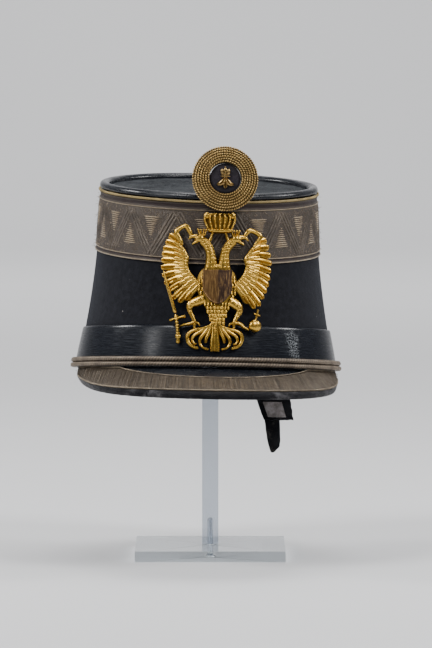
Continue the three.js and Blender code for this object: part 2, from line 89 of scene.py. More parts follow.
# Sections of the body: height, half width, half depth in front and behind, share of the tilt.
SECTION_COLUMNS = ("z", "side", "front", "back", "tilt")
SECTIONS = (
    (0, 86.5, 101.5, 101.5, 0),
    (8.5, 85.4, 100.2, 100.2, 0),
    (28, 81.5, 96, 96, 0),
    (52, 77.8, 92, 91, 0.47),
    (79, 74.7, 88.5, 86, 1),
    (124.5, 71.9, 84.5, 80, 1),
)
BODY_TOP = 120
BAND_OUT = GAP + 1.2
LACE_BOTTOM = 79.9
LACE_TOP = 119.4
LACE_OUT = GAP + 0.7
RIM_TOP = 126
RIM_WIDTH = 5

# The peak's reach and drop by angle from the front.
PEAK_COLUMNS = ("angle", "reach", "drop")
PEAK_OUTLINE = (
    (0, 47, 18.8),
    (20, 45, 18.3),
    (40, 37.5, 16.6),
    (55, 26.5, 14),
    (68, 14, 10.6),
    (78, 6.5, 7.4),
    (86, 3.6, 4.6),
)
PEAK_THICK = 2.2
PEAK_SPREAD = 0.3
PLATE_RADIUS = 72
FRONT_SLOPE = 0.1516
BREAST_RIDGE = 3.2


def read_table(rows, columns, field, at):
    """A smooth value between two rows of a table, whose first column runs upwards."""
    column = columns.index(field)
    if at <= rows[0][0]:
        return rows[0][column]
    if at >= rows[-1][0]:
        return rows[-1][column]
    slopes = [(b[column] - a[column]) / (b[0] - a[0]) for a, b in zip(rows, rows[1:])]
    i = next(k for k, row in enumerate(rows[1:]) if at <= row[0])
    step = rows[i + 1][0] - rows[i][0]
    start = slopes[i] if i == 0 else (slopes[i - 1] + slopes[i]) / 2
    end = slopes[i] if i == len(slopes) - 1 else (slopes[i] + slopes[i + 1]) / 2
    t = (at - rows[i][0]) / step
    straight = rows[i][column] + t * step * slopes[i]
    bend = t * (1 - t) * step * ((start - slopes[i]) * (1 - t) - (end - slopes[i]) * t)
    return straight + bend


@functools.lru_cache(maxsize=None)
def body_section(z):
    return tuple(read_table(SECTIONS, SECTION_COLUMNS, field, z) for field in SECTION_COLUMNS[1:])


@functools.lru_cache(maxsize=None)
def peak_section(angle):
    return tuple(read_table(PEAK_OUTLINE, PEAK_COLUMNS, field, angle) for field in PEAK_COLUMNS[1:])


def wall_point(angle, z, offset):
    """A point of the body: angle from the front, height, and how far it stands proud."""
    side, front, back, tilt = body_section(round(z, 2))
    x = (side + offset) * math.sin(angle)
    y = (back - front) / 2 - ((front + back) / 2 + offset) * math.cos(angle)
    return hat_point(x, y, z + y * math.tan(math.radians(CROWN_TILT) * tilt))


def even_angles(count=720):
    """Angles from the front that lie evenly along the body's oval."""
    side, depth = 75.5, 87.5
    lengths = [0.0]
    for i in range(count):
        angle = TAU * (i + 0.5) / count
        lengths.append(lengths[-1] + math.hypot(side * math.cos(angle), depth * math.sin(angle)))
    return [length / lengths[-1] for length in lengths]


EVEN = even_angles()
ROUND = 502.0  # the lace's length round the body


def angle_along(distance):
    """The angle at a distance in millimetres round the body from the front."""
    share = (distance / ROUND) % 1.0
    low, high = 0, len(EVEN) - 1
    while high - low > 1:
        mid = (low + high) // 2
        if EVEN[mid] <= share:
            low = mid
        else:
            high = mid
    part = (share - EVEN[low]) / (EVEN[high] - EVEN[low])
    return TAU * (low + part) / (len(EVEN) - 1)


def peak_point(angle, out, lift=0.0):
    """A point of the peak's upper face: degrees from the front, and how far out, 0 to 1."""
    reach, drop = peak_section(abs(round(angle, 4)))
    turn = math.radians(angle)
    side, depth = SECTIONS[0][1], SECTIONS[0][2]
    normal = Vector((math.sin(turn) / side, -math.cos(turn) / depth)).normalized()
    run = math.hypot(reach, drop)
    ahead = reach * out + lift * drop / run
    away = Vector((normal.x * PEAK_SPREAD, -1)).normalized()
    fall = drop * (0.85 * out + 0.15 * out * out)
    return hat_point(
        side * math.sin(turn) + away.x * ahead,
        -depth * math.cos(turn) + away.y * ahead,
        -GAP - fall + lift * reach / run,
    )


def strip_inner(angle):
    """Where the peak's thread strip begins: it clears a lens of leather in front."""
    share = max(math.cos(math.radians(angle * 1.95)), 0)
    return max(0.1, 0.45 * math.sqrt(share))


def strip_outer(angle):
    """Where the thread strip ends: nearer the peak's edge at the sides than in front."""
    share = min(max((abs(angle) - 15) / 50, 0), 1)
    return 0.89 + 0.05 * share * share * (3 - 2 * share)


def front_point(x, height, out):
    """A point before the front: sideways, height above the rim, distance from the plate's back."""
    lean = math.atan(FRONT_SLOPE)
    back = -102 + FRONT_SLOPE * (height - 10) + x * x / (2 * PLATE_RADIUS)
    return hat_point(x, back - out * math.cos(lean), height + out * math.sin(lean))


# ---------------------------------------------------------------- settings a user would change
class ShakoSizes(bpy.types.PropertyGroup):
    lace_repeat: bpy.props.FloatProperty(
        name="Lace repeat", description="Length of one zigzag of the lace",
        default=37.5 * MM, min=20 * MM, max=80 * MM, unit="LENGTH")
    cord_twist: bpy.props.FloatProperty(
        name="Cord twist", description="Length of one turn of the cords' strands",
        default=4.6 * MM, min=3 * MM, max=20 * MM, unit="LENGTH")
    strip_thread: bpy.props.FloatProperty(
        name="Strip thread", description="Spacing of the gold threads on the peak",
        default=0.85 * MM, min=0.4 * MM, max=2 * MM, unit="LENGTH")
    purl_rows: bpy.props.IntProperty(
        name="Purl rows", description="Rows of gold purl round the cockade", default=7, min=4, max=10)
    feathers: bpy.props.IntProperty(
        name="Feathers", description="Long feathers on each wing", default=12, min=6, max=16)


class ShakoColours(bpy.types.PropertyGroup):
    felt: bpy.props.FloatVectorProperty(
        name="Felt", description="Colour of the body", subtype="COLOR", size=3, min=0, max=1,
        default=(0.0065, 0.0068, 0.0085))
    lacquer: bpy.props.FloatVectorProperty(
        name="Lacquer", description="Colour of the lacquered leather", subtype="COLOR", size=3,
        min=0, max=1, default=(0.0045, 0.0055, 0.0085))
    lace: bpy.props.FloatVectorProperty(
        name="Lace", description="Colour of the lace's ground", subtype="COLOR", size=3,
        min=0, max=1, default=(0.042, 0.032, 0.024))
    thread: bpy.props.FloatVectorProperty(
        name="Gold thread", description="Colour of the peak's threads", subtype="COLOR", size=3,
        min=0, max=1, default=(0.118, 0.092, 0.064))
    gilt: bpy.props.FloatVectorProperty(
        name="Gilding", description="Colour of the eagle's gilding", subtype="COLOR", size=3,
        min=0, max=1, default=(0.56, 0.34, 0.062))


def sizes():
    return bpy.context.scene.shako_sizes


def colours():
    return bpy.context.scene.shako_colours


# ---------------------------------------------------------------- mesh helpers
FIBRE_NORMAL = Vector((0.3, 0.2, 1))


def add_sheet(bm, across, along, place, length=1.0, width=1.0, flat=None):
    """Adds a grid whose corners a function of (u, v) puts in place; its UVs run in millimetres."""
    layer = bm.loops.layers.uv.verify()
    made = bmesh.ops.create_grid(bm, x_segments=across, y_segments=along, size=1)
    where = {vert: ((vert.co.x + 1) / 2, (vert.co.y + 1) / 2) for vert in made["verts"]}
    for face in {face for vert in where for face in vert.link_faces}:
        for loop in face.loops:
            u, v = where[loop.vert]
            loop[layer].uv = flat(u, v) if flat else (u * length, v * width)
    for vert, (u, v) in where.items():
        vert.co = place(u, v)
    return where


def add_ring(bm, profile, steps, wobble=None):
    """Adds a ring round the body from a closed profile of (height, offset) corners.

    Its UVs hold the distance round the body and the height.
    """
    rows = len(profile)

    def place(u, v):
        z, offset = profile[round(v * rows) % rows]
        if wobble:
            z, offset = wobble(u, z, offset)
        return wall_point(TAU * u, z, offset)

    def flat(u, v):
        return u * ROUND, profile[round(v * rows) % rows][0]

    return add_sheet(bm, steps, rows, place, flat=flat)


def add_tube(bm, centres, normals, radii, sides, closed=False):
    """Adds a tube through a row of centres; an open one is drawn to a point at each end."""
    count = len(centres)
    frames = []
    length = 0.0
    for i, (centre, normal) in enumerate(zip(centres, normals)):
        ahead = centres[(i + 1) % count] if closed else centres[min(i + 1, count - 1)]
        behind = centres[i - 1] if closed else centres[max(i - 1, 0)]
        along = (ahead - behind).normalized()
        first = (normal - normal.dot(along) * along).normalized()
        frames.append((centre, first, along.cross(first)))
        length += (ahead - behind).length / 2
    steps = count if closed else count - 1

    def place(u, v):
        i = round(u * steps)
        centre, first, second = frames[i % count]
        radius = radii[i % count]
        if not closed and i in (0, steps):
            radius = 0.0
        turn = TAU * (round(v * sides) % sides) / sides
        return centre + radius * MM * (math.cos(turn) * first + math.sin(turn) * second)

    return add_sheet(bm, steps, sides, place, length / MM, TAU * max(radii))


def add_twisted_ring(bm, z, offset, radius, strands, share, pitch, sides, smooth, dull=1.0):
    """Adds strands laid round each other all the way round the body; every other one may be dull."""
    layer = bm.verts.layers.float.get("relief") or bm.verts.layers.float.new("relief")
    turns = round(ROUND * 1.18 / pitch)
    steps = turns * smooth
    thickness = radius * share
    for strand in range(strands):
        centres = []
        normals = []
        for i in range(steps):
            turn = TAU * (turns * i / steps + strand / strands)
            angle = TAU * i / steps
            reach = radius - thickness
            centre = wall_point(angle, z + reach * math.sin(turn), offset + reach * math.cos(turn))
            centres.append(centre)
            normals.append(centre - wall_point(angle, z, offset))
        made = add_tube(bm, centres, normals, [thickness] * steps, sides, closed=True)
        for vert, (_, v) in made.items():
            # Relief: high where a strand faces out from the cord, low in the grooves, where the thread
            # material paints shade; dull scales it down on every other strand, for a darker strand colour.
            vert[layer] = (0.5 + 0.5 * math.cos(TAU * v)) * (dull if strand % 2 else 1.0)


def add_loose_fibre(bm, root, ahead, bend, reach, radius):
    """Adds one short frayed fibre: it sets off one way and bends another."""
    centres = [root + (ahead * t + bend * t * t) * reach for t in (0, 0.33, 0.66, 1.0)]
    add_tube(bm, centres, [FIBRE_NORMAL] * 4, [radius] * 4, 4)


def add_bead(bm, centre, size, across, along):
    """Adds one bead: a small ball stretched along one direction and squeezed across it."""
    layer = bm.verts.layers.float["relief"]
    along = along.normalized()
    across = (across - across.dot(along) * along).normalized()
    out = along.cross(across)
    turn = Matrix((along, across, out)).transposed().to_4x4()
    stretch = Matrix.Diagonal((*size, 1))
    made = bmesh.ops.create_icosphere(bm, subdivisions=2, radius=1)
    for vert in made["verts"]:
        # Relief: high on the bead's crown, low at its sides, where the purl material paints shade between
        # beads and rows.
        vert[layer] = 0.5 + 0.5 * abs(vert.co.z)
        vert.co = Matrix.Translation(centre) @ turn @ stretch @ vert.co


def new_part():
    bm = bmesh.new()
    bm.verts.layers.float.new("relief")
    return bm


def gather(makers, chunk=40):
    """Builds many small things apart, some at a time, and joins them; one big mesh is slow to add to."""
    whole = new_part()
    for first in range(0, len(makers), chunk):
        part = new_part()
        for maker in makers[first:first + chunk]:
            maker(part)
        mesh = bpy.data.meshes.new("part")
        part.to_mesh(mesh)
        part.free()
        whole.from_mesh(mesh)
        bpy.data.meshes.remove(mesh)
    return whole


def finish_piece(name, bm, material, slot, nodes=(), sharp=50):
    """Turns a bmesh into a finished piece that rides on the hat and stands for its CAD nodes."""
    bmesh.ops.remove_doubles(bm, verts=bm.verts, dist=WELD)
    bmesh.ops.recalc_face_normals(bm, faces=bm.faces)
    mesh = bpy.data.meshes.new(name)
    bm.to_mesh(mesh)
    bm.free()
    mesh.materials.append(material)
    mesh.polygons.foreach_set("use_smooth", [True] * len(mesh.polygons))
    mesh.set_sharp_from_angle(angle=math.radians(sharp))
    piece = bpy.data.objects.new(name, mesh)
    bpy.context.scene.collection.objects.link(piece)
    if nodes:
        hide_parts(*nodes)
    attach(piece, "root")


def spline(points, at):
    """A smooth curve through rows of numbers, read at a share from 0 to 1."""
    last = len(points) - 1
    position = min(max(at, 0), 1) * last
    i = min(int(position), last - 1)
    t = position - i
    rows = [points[max(i - 1, 0)], points[i], points[i + 1], points[min(i + 2, last)]]
    return [
        0.5 * (2 * b + (c - a) * t + (2 * a - 5 * b + 4 * c - d) * t * t + (3 * b - a - 3 * c + d) * t ** 3)
        for a, b, c, d in zip(*rows)
    ]


# ---------------------------------------------------------------- shader helpers
class Shader:
    """A node tree that is written from left to right."""

    def __init__(self, tree):
        self.tree = tree

    def node(self, kind, inputs=None, **settings):
        made = self.tree.nodes.new(kind)
        for name, value in settings.items():
            setattr(made, name, value)
        for socket, value in (inputs or {}).items():
            if isinstance(value, bpy.types.NodeSocket):
                self.tree.links.new(value, made.inputs[socket])
            else:
                made.inputs[socket].default_value = value
        return made

    def math(self, operation, first, second=0.0, third=0.0, clamp=False):
        made = self.node("ShaderNodeMath", {0: first, 1: second, 2: third}, operation=operation,
                         use_clamp=clamp)
        return made.outputs[0]

    def mix(self, factor, first, second, blend="MIX"):
        made = self.node("ShaderNodeMix", data_type="RGBA", blend_type=blend, clamp_factor=True)
        for socket, value in (("Factor", factor), ("A", first), ("B", second)):
            target = next(s for s in made.inputs if s.name == socket and s.enabled)
            if isinstance(value, bpy.types.NodeSocket):
                self.tree.links.new(value, target)
            elif socket == "Factor":
                target.default_value = value
            else:
                target.default_value = (*value, 1)
        return next(s for s in made.outputs if s.enabled)

    def over(self, shade, colour, mask, strength=1.0):
        """Lays a colour over another through a share of a mask."""
        return self.mix(self.math("MULTIPLY", mask, strength), shade, colour)

    def flip(self, mask):
        return self.math("SUBTRACT", 1.0, mask)

    def ramp(self, value, low, high):
        """0 below low, 1 above high, smooth between."""
        made = self.node("ShaderNodeMapRange", {"Value": value, "From Min": low, "From Max": high},
                         interpolation_type="SMOOTHSTEP")
        return made.outputs[0]

    def noise(self, vector, scale, detail=4.0, rough=0.55):
        made = self.node("ShaderNodeTexNoise", {
            "Vector": vector, "Scale": scale, "Detail": detail, "Roughness": rough})
        return made.outputs["Fac"]

    def group(self, name, **inputs):
        made = self.tree.nodes.new("ShaderNodeGroup")
        made.node_tree = bpy.data.node_groups[name]
        for socket, value in inputs.items():
            socket = socket.replace("_", " ")
            if isinstance(value, bpy.types.NodeSocket):
                self.tree.links.new(value, made.inputs[socket])
            else:
                made.inputs[socket].default_value = value
        return made


def new_group(name, inputs, outputs):
    """A shader node group with named sockets, and its inlet and outlet."""
    tree = bpy.data.node_groups.new(name, "ShaderNodeTree")
    for socket, kind, default in inputs:
        made = tree.interface.new_socket(socket, in_out="INPUT", socket_type=kind)
        if default is not None:
            made.default_value = default
    for socket in outputs:
        tree.interface.new_socket(socket, in_out="OUTPUT", socket_type="NodeSocketFloat")
    shader = Shader(tree)
    inlet = shader.node("NodeGroupInput")
    outlet = shader.node("NodeGroupOutput")
    return shader, inlet, outlet


def make_grain_group():
    """Leather grain: small cells with creases between them, and coarser unevenness."""
    shader, inlet, outlet = new_group(
        "Leather grain",
        [("Vector", "NodeSocketVector", None), ("Scale", "NodeSocketFloat", 900.0)],
        ["Height", "Mottle"])
    cells = shader.node("ShaderNodeTexVoronoi", {
        "Vector": inlet.outputs["Vector"], "Scale": inlet.outputs["Scale"]}, feature="DISTANCE_TO_EDGE")
    coarse = shader.noise(inlet.outputs["Vector"], 260.0, 5.0)
    creases = shader.ramp(cells.outputs["Distance"], 0.0, 0.16)
    height = shader.math("MULTIPLY_ADD", coarse, 0.8, creases)
    mottle = shader.ramp(shader.noise(inlet.outputs["Vector"], 42.0, 6.0, 0.65), 0.35, 0.68)
    shader.tree.links.new(height, outlet.inputs["Height"])
    shader.tree.links.new(mottle, outlet.inputs["Mottle"])


def make_wear_group():
    """Rubbed patches: broad areas broken up by fine speckle."""
    shader, inlet, outlet = new_group(
        "Rubbed wear",
        [("Vector", "NodeSocketVector", None), ("Spread", "NodeSocketFloat", 60.0),
         ("Amount", "NodeSocketFloat", 0.5)],
        ["Mask"])
    broad = shader.noise(inlet.outputs["Vector"], inlet.outputs["Spread"], 3.0)
    speckle = shader.noise(inlet.outputs["Vector"], 1400.0, 3.0, 0.7)
    both = shader.math("MULTIPLY_ADD", speckle, 0.5, broad)
    start = shader.math("SUBTRACT", 1.25, inlet.outputs["Amount"])
    over = shader.math("SUBTRACT", both, start)
    shader.tree.links.new(shader.math("MULTIPLY", over, 6.0, clamp=True), outlet.inputs["Mask"])


def make_dust_group():
    """Dust and lint: a thin film on what faces up, with scattered specks."""
    shader, inlet, outlet = new_group(
        "Dust",
        [("Vector", "NodeSocketVector", None), ("Amount", "NodeSocketFloat", 0.3)],
        ["Mask", "Specks"])
    geometry = shader.node("ShaderNodeNewGeometry")
    upward = shader.node("ShaderNodeSeparateXYZ", {"Vector": geometry.outputs["Normal"]}).outputs["Z"]
    film = shader.noise(inlet.outputs["Vector"], 130.0, 5.0, 0.7)
    settled = shader.math("MULTIPLY", shader.ramp(upward, 0.1, 1.0), shader.ramp(film, 0.3, 0.8))
    dots = shader.node("ShaderNodeTexVoronoi", {"Vector": inlet.outputs["Vector"], "Scale": 420.0})
    chosen = shader.ramp(dots.outputs["Color"], 0.93, 0.95)
    small = shader.math("LESS_THAN", dots.outputs["Distance"], 0.16)
    specks = shader.math("MULTIPLY", chosen, small)
    shader.tree.links.new(
        shader.math("MULTIPLY", settled, inlet.outputs["Amount"]), outlet.inputs["Mask"])
    shader.tree.links.new(specks, outlet.inputs["Specks"])


def make_thread_group():
    """Wound wire: fine slanting turns along a thread's own length, in millimetres of UV."""
    shader, inlet, outlet = new_group(
        "Wound thread",
        [("Vector", "NodeSocketVector", None), ("Turns", "NodeSocketFloat", 3.0),
         ("Slant", "NodeSocketFloat", 0.5)],
        ["Height", "Shade"])
    split = shader.node("ShaderNodeSeparateXYZ", {"Vector": inlet.outputs["Vector"]})
    lean = shader.math("MULTIPLY", split.outputs["Y"], inlet.outputs["Slant"])
    along = shader.math("ADD", split.outputs["X"], lean)
    turn = shader.math("MULTIPLY", along, inlet.outputs["Turns"])
    wave = shader.math("SINE", shader.math("MULTIPLY", turn, TAU))
    height = shader.math("MULTIPLY_ADD", wave, 0.5, 0.5)
    shade = shader.ramp(shader.noise(inlet.outputs["Vector"], 0.35, 5.0, 0.7), 0.3, 0.75)
    shader.tree.links.new(height, outlet.inputs["Height"])
    shader.tree.links.new(shade, outlet.inputs["Shade"])


def new_material(name):
    material = bpy.data.materials.new(name)
    material.use_nodes = True
    material.node_tree.nodes.clear()
    shader = Shader(material.node_tree)
    coordinates = shader.node("ShaderNodeTexCoord")
    return material, shader, coordinates.outputs["Object"], coordinates.outputs["UV"]


def close_material(shader, bump=None, strength=0.5, distance=0.2 * MM, linked=None, see_through=None,
                   **constants):
    """The Principled shader: constants set on its sockets, and linked colours and masks.

    see_through is the colour of the shadow that a clear piece casts.
    """
    inputs = {name.replace("_", " "): value for name, value in constants.items()}
    inputs.update(linked or {})
    if bump is not None:
        relief = shader.node("ShaderNodeBump", {
            "Height": bump, "Strength": strength, "Distance": distance})
        inputs["Normal"] = relief.outputs["Normal"]
    surface = shader.node("ShaderNodeBsdfPrincipled", inputs).outputs["BSDF"]
    if see_through:
        path = shader.node("ShaderNodeLightPath")
        pale = shader.node("ShaderNodeBsdfTransparent", {"Color": (*see_through, 1)})
        surface = shader.node("ShaderNodeMixShader", {
            0: path.outputs["Is Shadow Ray"], 1: surface, 2: pale.outputs[0]}).outputs[0]
    shader.node("ShaderNodeOutputMaterial", {"Surface": surface})


# ---------------------------------------------------------------- materials
def felt_material():
    material, shader, place, _ = new_material("Black felt")
    nap = shader.noise(place, 2600.0, 4.0, 0.75)
    matted = shader.noise(place, 260.0, 5.0, 0.7)
    dust = shader.group("Dust", Vector=place, Amount=0.5)
    shade = shader.mix(shader.ramp(matted, 0.3, 0.75), tuple(colours().felt), (0.013, 0.0135, 0.017))
    shade = shader.over(shade, (0.06, 0.06, 0.066), shader.ramp(nap, 0.6, 0.76), 0.75)
    shade = shader.over(shade, (0.26, 0.25, 0.24), dust.outputs["Specks"], 0.85)
    height = shader.math("MULTIPLY_ADD", nap, 0.6, matted)
    close_material(shader, height, 0.55, 0.35 * MM, {"Base Color": shade}, Roughness=1.0,
                   Specular_IOR_Level=0.08, Sheen_Weight=0.10, Sheen_Roughness=0.5,
                   Sheen_Tint=(0.5, 0.52, 0.6, 1))
    return material


def lacquer_material():
    material, shader, place, _ = new_material("Black lacquer")
    grain = shader.group("Leather grain", Vector=place, Scale=1100.0)
    wear = shader.group("Rubbed wear", Vector=place, Spread=38.0, Amount=0.34)
    dust = shader.group("Dust", Vector=place, Amount=0.08)
    cracks = shader.node("ShaderNodeTexVoronoi", {"Vector": place, "Scale": 330.0},
                         feature="DISTANCE_TO_EDGE").outputs["Distance"]
    crazed = shader.flip(shader.ramp(cracks, 0.0, 0.06))
    crazed = shader.math("MULTIPLY", crazed, shader.ramp(shader.noise(place, 30.0, 3.0), 0.5, 0.66))
    shade = shader.mix(grain.outputs["Mottle"], tuple(colours().lacquer), (0.009, 0.011, 0.015))
    shade = shader.over(shade, (0.10, 0.105, 0.11), wear.outputs["Mask"], 0.3)
    shade = shader.over(shade, (0.12, 0.12, 0.115), crazed, 0.35)
    shade = shader.mix(dust.outputs["Mask"], shade, (0.12, 0.12, 0.12))
    rough = shader.math("MULTIPLY_ADD", grain.outputs["Mottle"], 0.16, 0.2)
    rough = shader.math("MULTIPLY_ADD", wear.outputs["Mask"], 0.3, rough)
    height = shader.math("MULTIPLY_ADD", crazed, -0.8, grain.outputs["Height"])
    close_material(shader, height, 0.16, 0.15 * MM, {"Base Color": shade, "Roughness": rough},
                   Specular_IOR_Level=0.27, Coat_Weight=0.06, Coat_Roughness=0.12)
    return material


def worn_band_material():
    """The lower band: lacquer with one whitish crackled patch at the right of its front."""
    material, shader, place, uv = new_material("Band lacquer")
    grain = shader.group("Leather grain", Vector=place, Scale=800.0)
    split = shader.node("ShaderNodeSeparateXYZ", {"Vector": uv})
    patch_middle = 52.0  # millimetres round the band from the front
    patch_height = 15.0
    aside = shader.math("DIVIDE", shader.math("SUBTRACT", split.outputs["X"], patch_middle), 6.6)
    above = shader.math("DIVIDE", shader.math("SUBTRACT", split.outputs["Y"], patch_height), 11.5)
    away = shader.math("MULTIPLY_ADD", aside, aside, shader.math("MULTIPLY", above, above))
    ragged = shader.math("MULTIPLY_ADD", shader.noise(place, 170.0, 5.0, 0.7), 2.6, away)
    inside = shader.ramp(ragged, 2.35, 1.35)
    speckle = shader.noise(place, 900.0, 6.0, 0.75)
    bent = shader.node("ShaderNodeMix", data_type="VECTOR")
    shader.tree.links.new(place, bent.inputs[4])
    shader.tree.links.new(shader.node("ShaderNodeTexNoise", {
        "Vector": place, "Scale": 300.0}).outputs["Color"], bent.inputs[5])
    bent.inputs[0].default_value = 0.0035
    crackle = shader.node("ShaderNodeTexVoronoi", {"Vector": bent.outputs[1], "Scale": 620.0},
                          feature="DISTANCE_TO_EDGE").outputs["Distance"]
    lines = shader.ramp(crackle, 0.13, 0.03)
    flakes = shader.math("MULTIPLY", lines, shader.ramp(speckle, 0.42, 0.56))
    flakes = shader.math("MULTIPLY", flakes, inside)
    streaks = shader.noise(shader.node("ShaderNodeMapping", {
        "Vector": uv, "Scale": (0.05, 1.2, 1.0)}).outputs[0], 2.0, 5.0, 0.7)
    dulled = shader.ramp(streaks, 0.42, 0.7)
    shade = shader.mix(dulled, tuple(colours().lacquer), (0.011, 0.0135, 0.019))
    shade = shader.over(shade, (0.36, 0.385, 0.40), flakes, 0.8)
    rough = shader.math("MULTIPLY_ADD", dulled, 0.2, 0.2)
    rough = shader.math("MULTIPLY_ADD", flakes, 0.4, rough)
    height = shader.math("MULTIPLY_ADD", flakes, 3.0, grain.outputs["Height"])
    close_material(shader, height, 0.1, 0.1 * MM, {"Base Color": shade, "Roughness": rough},
                   Specular_IOR_Level=0.24)
    return material


def crown_material():
    material, shader, place, _ = new_material("Crown leather")
    grain = shader.group("Leather grain", Vector=place, Scale=620.0)
    wear = shader.group("Rubbed wear", Vector=place, Spread=24.0, Amount=0.62)
    dust = shader.group("Dust", Vector=place, Amount=0.12)
    blotch = shader.ramp(shader.noise(place, 170.0, 6.0, 0.75), 0.42, 0.62)
    # Speckle: light specks in the leather's colour, partly grain specks and partly painted highlight
    # standing for glints off the grain.
    speckle = shader.ramp(shader.noise(place, 300.0, 5.0, 0.8), 0.56, 0.66)
    shade = shader.mix(grain.outputs["Mottle"], (0.005, 0.006, 0.008), (0.016, 0.018, 0.021))
    shade = shader.over(shade, (0.055, 0.06, 0.066), blotch, 0.7)
    shade = shader.over(shade, (0.09, 0.097, 0.104), wear.outputs["Mask"], 0.3)
    shade = shader.over(shade, (0.15, 0.158, 0.166), speckle, 0.75)
    shade = shader.mix(dust.outputs["Mask"], shade, (0.10, 0.10, 0.10))
    rough = shader.math("MULTIPLY_ADD", grain.outputs["Mottle"], 0.2, 0.55)
    height = shader.math("MULTIPLY_ADD", speckle, 0.7, grain.outputs["Height"])
    close_material(shader, height, 1.0, 0.6 * MM, {"Base Color": shade, "Roughness": rough},
                   Specular_IOR_Level=0.02)
    return material


def binding_material(name="Binding leather", base=(0.004, 0.004, 0.0055), rubbed=(0.13, 0.125, 0.13)):
    material, shader, place, _ = new_material(name)
    grain = shader.group("Leather grain", Vector=place, Scale=700.0)
    wear = shader.group("Rubbed wear", Vector=place, Spread=110.0, Amount=0.46)
    wrinkles = shader.noise(shader.node("ShaderNodeMapping", {
        "Vector": place, "Scale": (1.0, 1.0, 3.0)}).outputs[0], 240.0, 6.0, 0.7)
    shade = shader.mix(grain.outputs["Mottle"], base, (0.016, 0.016, 0.018))
    shade = shader.over(shade, rubbed, wear.outputs["Mask"], 0.55)
    rough = shader.math("MULTIPLY_ADD", wear.outputs["Mask"], 0.15, 0.36)
    height = shader.math("MULTIPLY_ADD", wrinkles, 1.6, grain.outputs["Height"])
    close_material(shader, height, 0.6, 0.5 * MM, {"Base Color": shade, "Roughness": rough},
                   Specular_IOR_Level=0.06)
    return material


def lace_material():
    """The lace's woven ground: fine ribs across a brown, tarnished gold."""
    material, shader, place, uv = new_material("Lace ground")
    split = shader.node("ShaderNodeSeparateXYZ", {"Vector": uv})
    ribs = shader.math("SINE", shader.math("MULTIPLY", split.outputs["X"], TAU / 0.55))
    picks = shader.math("SINE", shader.math("MULTIPLY", split.outputs["Y"], TAU / 0.5))
    weave = shader.math("MULTIPLY_ADD", ribs, 0.3, shader.math("MULTIPLY_ADD", picks, 0.2, 0.5))
    tarnish = shader.ramp(shader.noise(place, 60.0, 6.0, 0.7), 0.35, 0.7)
    shade = shader.mix(tarnish, tuple(colours().lace), (0.040, 0.030, 0.026))
    shade = shader.mix(shader.ramp(weave, 0.55, 1.0), shade, (0.095, 0.073, 0.052))
    for height, reach in ((117.6, 1.3), (82.2, 0.9)):
        away = shader.math("ABSOLUTE", shader.math("SUBTRACT", split.outputs["Y"], height))
        shade = shader.mix(shader.ramp(away, reach, reach - 0.5), shade, (0.018, 0.009, 0.008))
    rough = shader.math("MULTIPLY_ADD", tarnish, 0.15, 0.5)
    close_material(shader, weave, 0.55, 0.25 * MM, {"Base Color": shade, "Roughness": rough},
                   Metallic=0.45)
    return material


def thread_material(name, tint, dark, turns, metallic=0.7, hollow_shade=0.0, streaks=0.0):
    """Gold thread wound on a core, tarnished here and there: painted highlight on its turns, painted shade
    in its hollows, and with streaks, painted shade in the gaps between threads.
    """
    material, shader, place, uv = new_material(name)
    wound = shader.group("Wound thread", Vector=uv, Turns=turns, Slant=0.8)
    tarnish = shader.ramp(shader.noise(place, 85.0, 5.0, 0.7), 0.36, 0.7)
    shade = shader.mix(tarnish, tint, dark)
    # Painted shade: dark streaks along the threads stand for the shaded gaps between them.
    if streaks:
        drawn = shader.node("ShaderNodeMapping", {"Vector": uv, "Scale": (1.1, 0.02, 1.0)}).outputs[0]
        shaded_gaps = shader.ramp(shader.noise(drawn, 1.0, 3.0, 0.8), 0.56, 0.40)
        shade = shader.over(shade, tuple(0.18 * part for part in dark), shaded_gaps, streaks)
    # Painted shade: where the relief attribute is low, in the grooves between strands and between beads,
    # the colour is darkened to stand for the shade there.
    if hollow_shade:
        depth = shader.node("ShaderNodeAttribute", attribute_name="relief").outputs["Fac"]
        sunk_shade = shader.flip(shader.ramp(depth, 0.5, 0.97))
        shade = shader.over(shade, tuple(0.12 * part for part in dark), sunk_shade, hollow_shade)
    # Painted highlight: the crests of the wound turns are painted lighter than the tint.
    painted_highlight = tuple(min(1.0, 1.6 * part) for part in tint)
    shade = shader.over(shade, painted_highlight, wound.outputs["Height"], 0.35)
    rough = shader.math("MULTIPLY_ADD", tarnish, 0.2, 0.36)
    close_material(shader, wound.outputs["Height"], 0.5, 0.12 * MM,
                   {"Base Color": shade, "Roughness": rough}, Metallic=metallic)
    return material


# dark is the colour of the painted shade in the hollows.
def gilt_material(name="Gilt brass", dark=(0.085, 0.048, 0.010), dull=0.0):
    """Gilding, with small rubbed places, its colour darkened in the hollows as painted shade, from the
    relief attribute.
    """
    material, shader, place, _ = new_material(name)
    depth = shader.node("ShaderNodeAttribute", attribute_name="relief").outputs["Fac"]
    patch = shader.noise(place, 170.0, 5.0, 0.7)
    fine = shader.noise(place, 900.0, 4.0, 0.65)
    # Painted shade: low relief, broken up by patches, darkens the gilding towards dark.
    hollow_shade = shader.flip(shader.ramp(
        shader.math("MULTIPLY_ADD", shader.math("SUBTRACT", patch, 0.5), 0.5, depth), 0.12, 0.62))
    shade = shader.mix(shader.ramp(patch, 0.4, 0.75), tuple(colours().gilt), (0.40, 0.235, 0.042))
    shade = shader.over(shade, dark, hollow_shade, 0.85)
    shade = shader.mix(dull, shade, (0.22, 0.17, 0.11))
    rough = shader.math("MULTIPLY_ADD", hollow_shade, 0.22, shader.math("MULTIPLY_ADD", fine, 0.16, 0.2))
    close_material(shader, fine, 0.22, 0.2 * MM, {"Base Color": shade, "Roughness": rough},
                   Metallic=1.0)
    return material


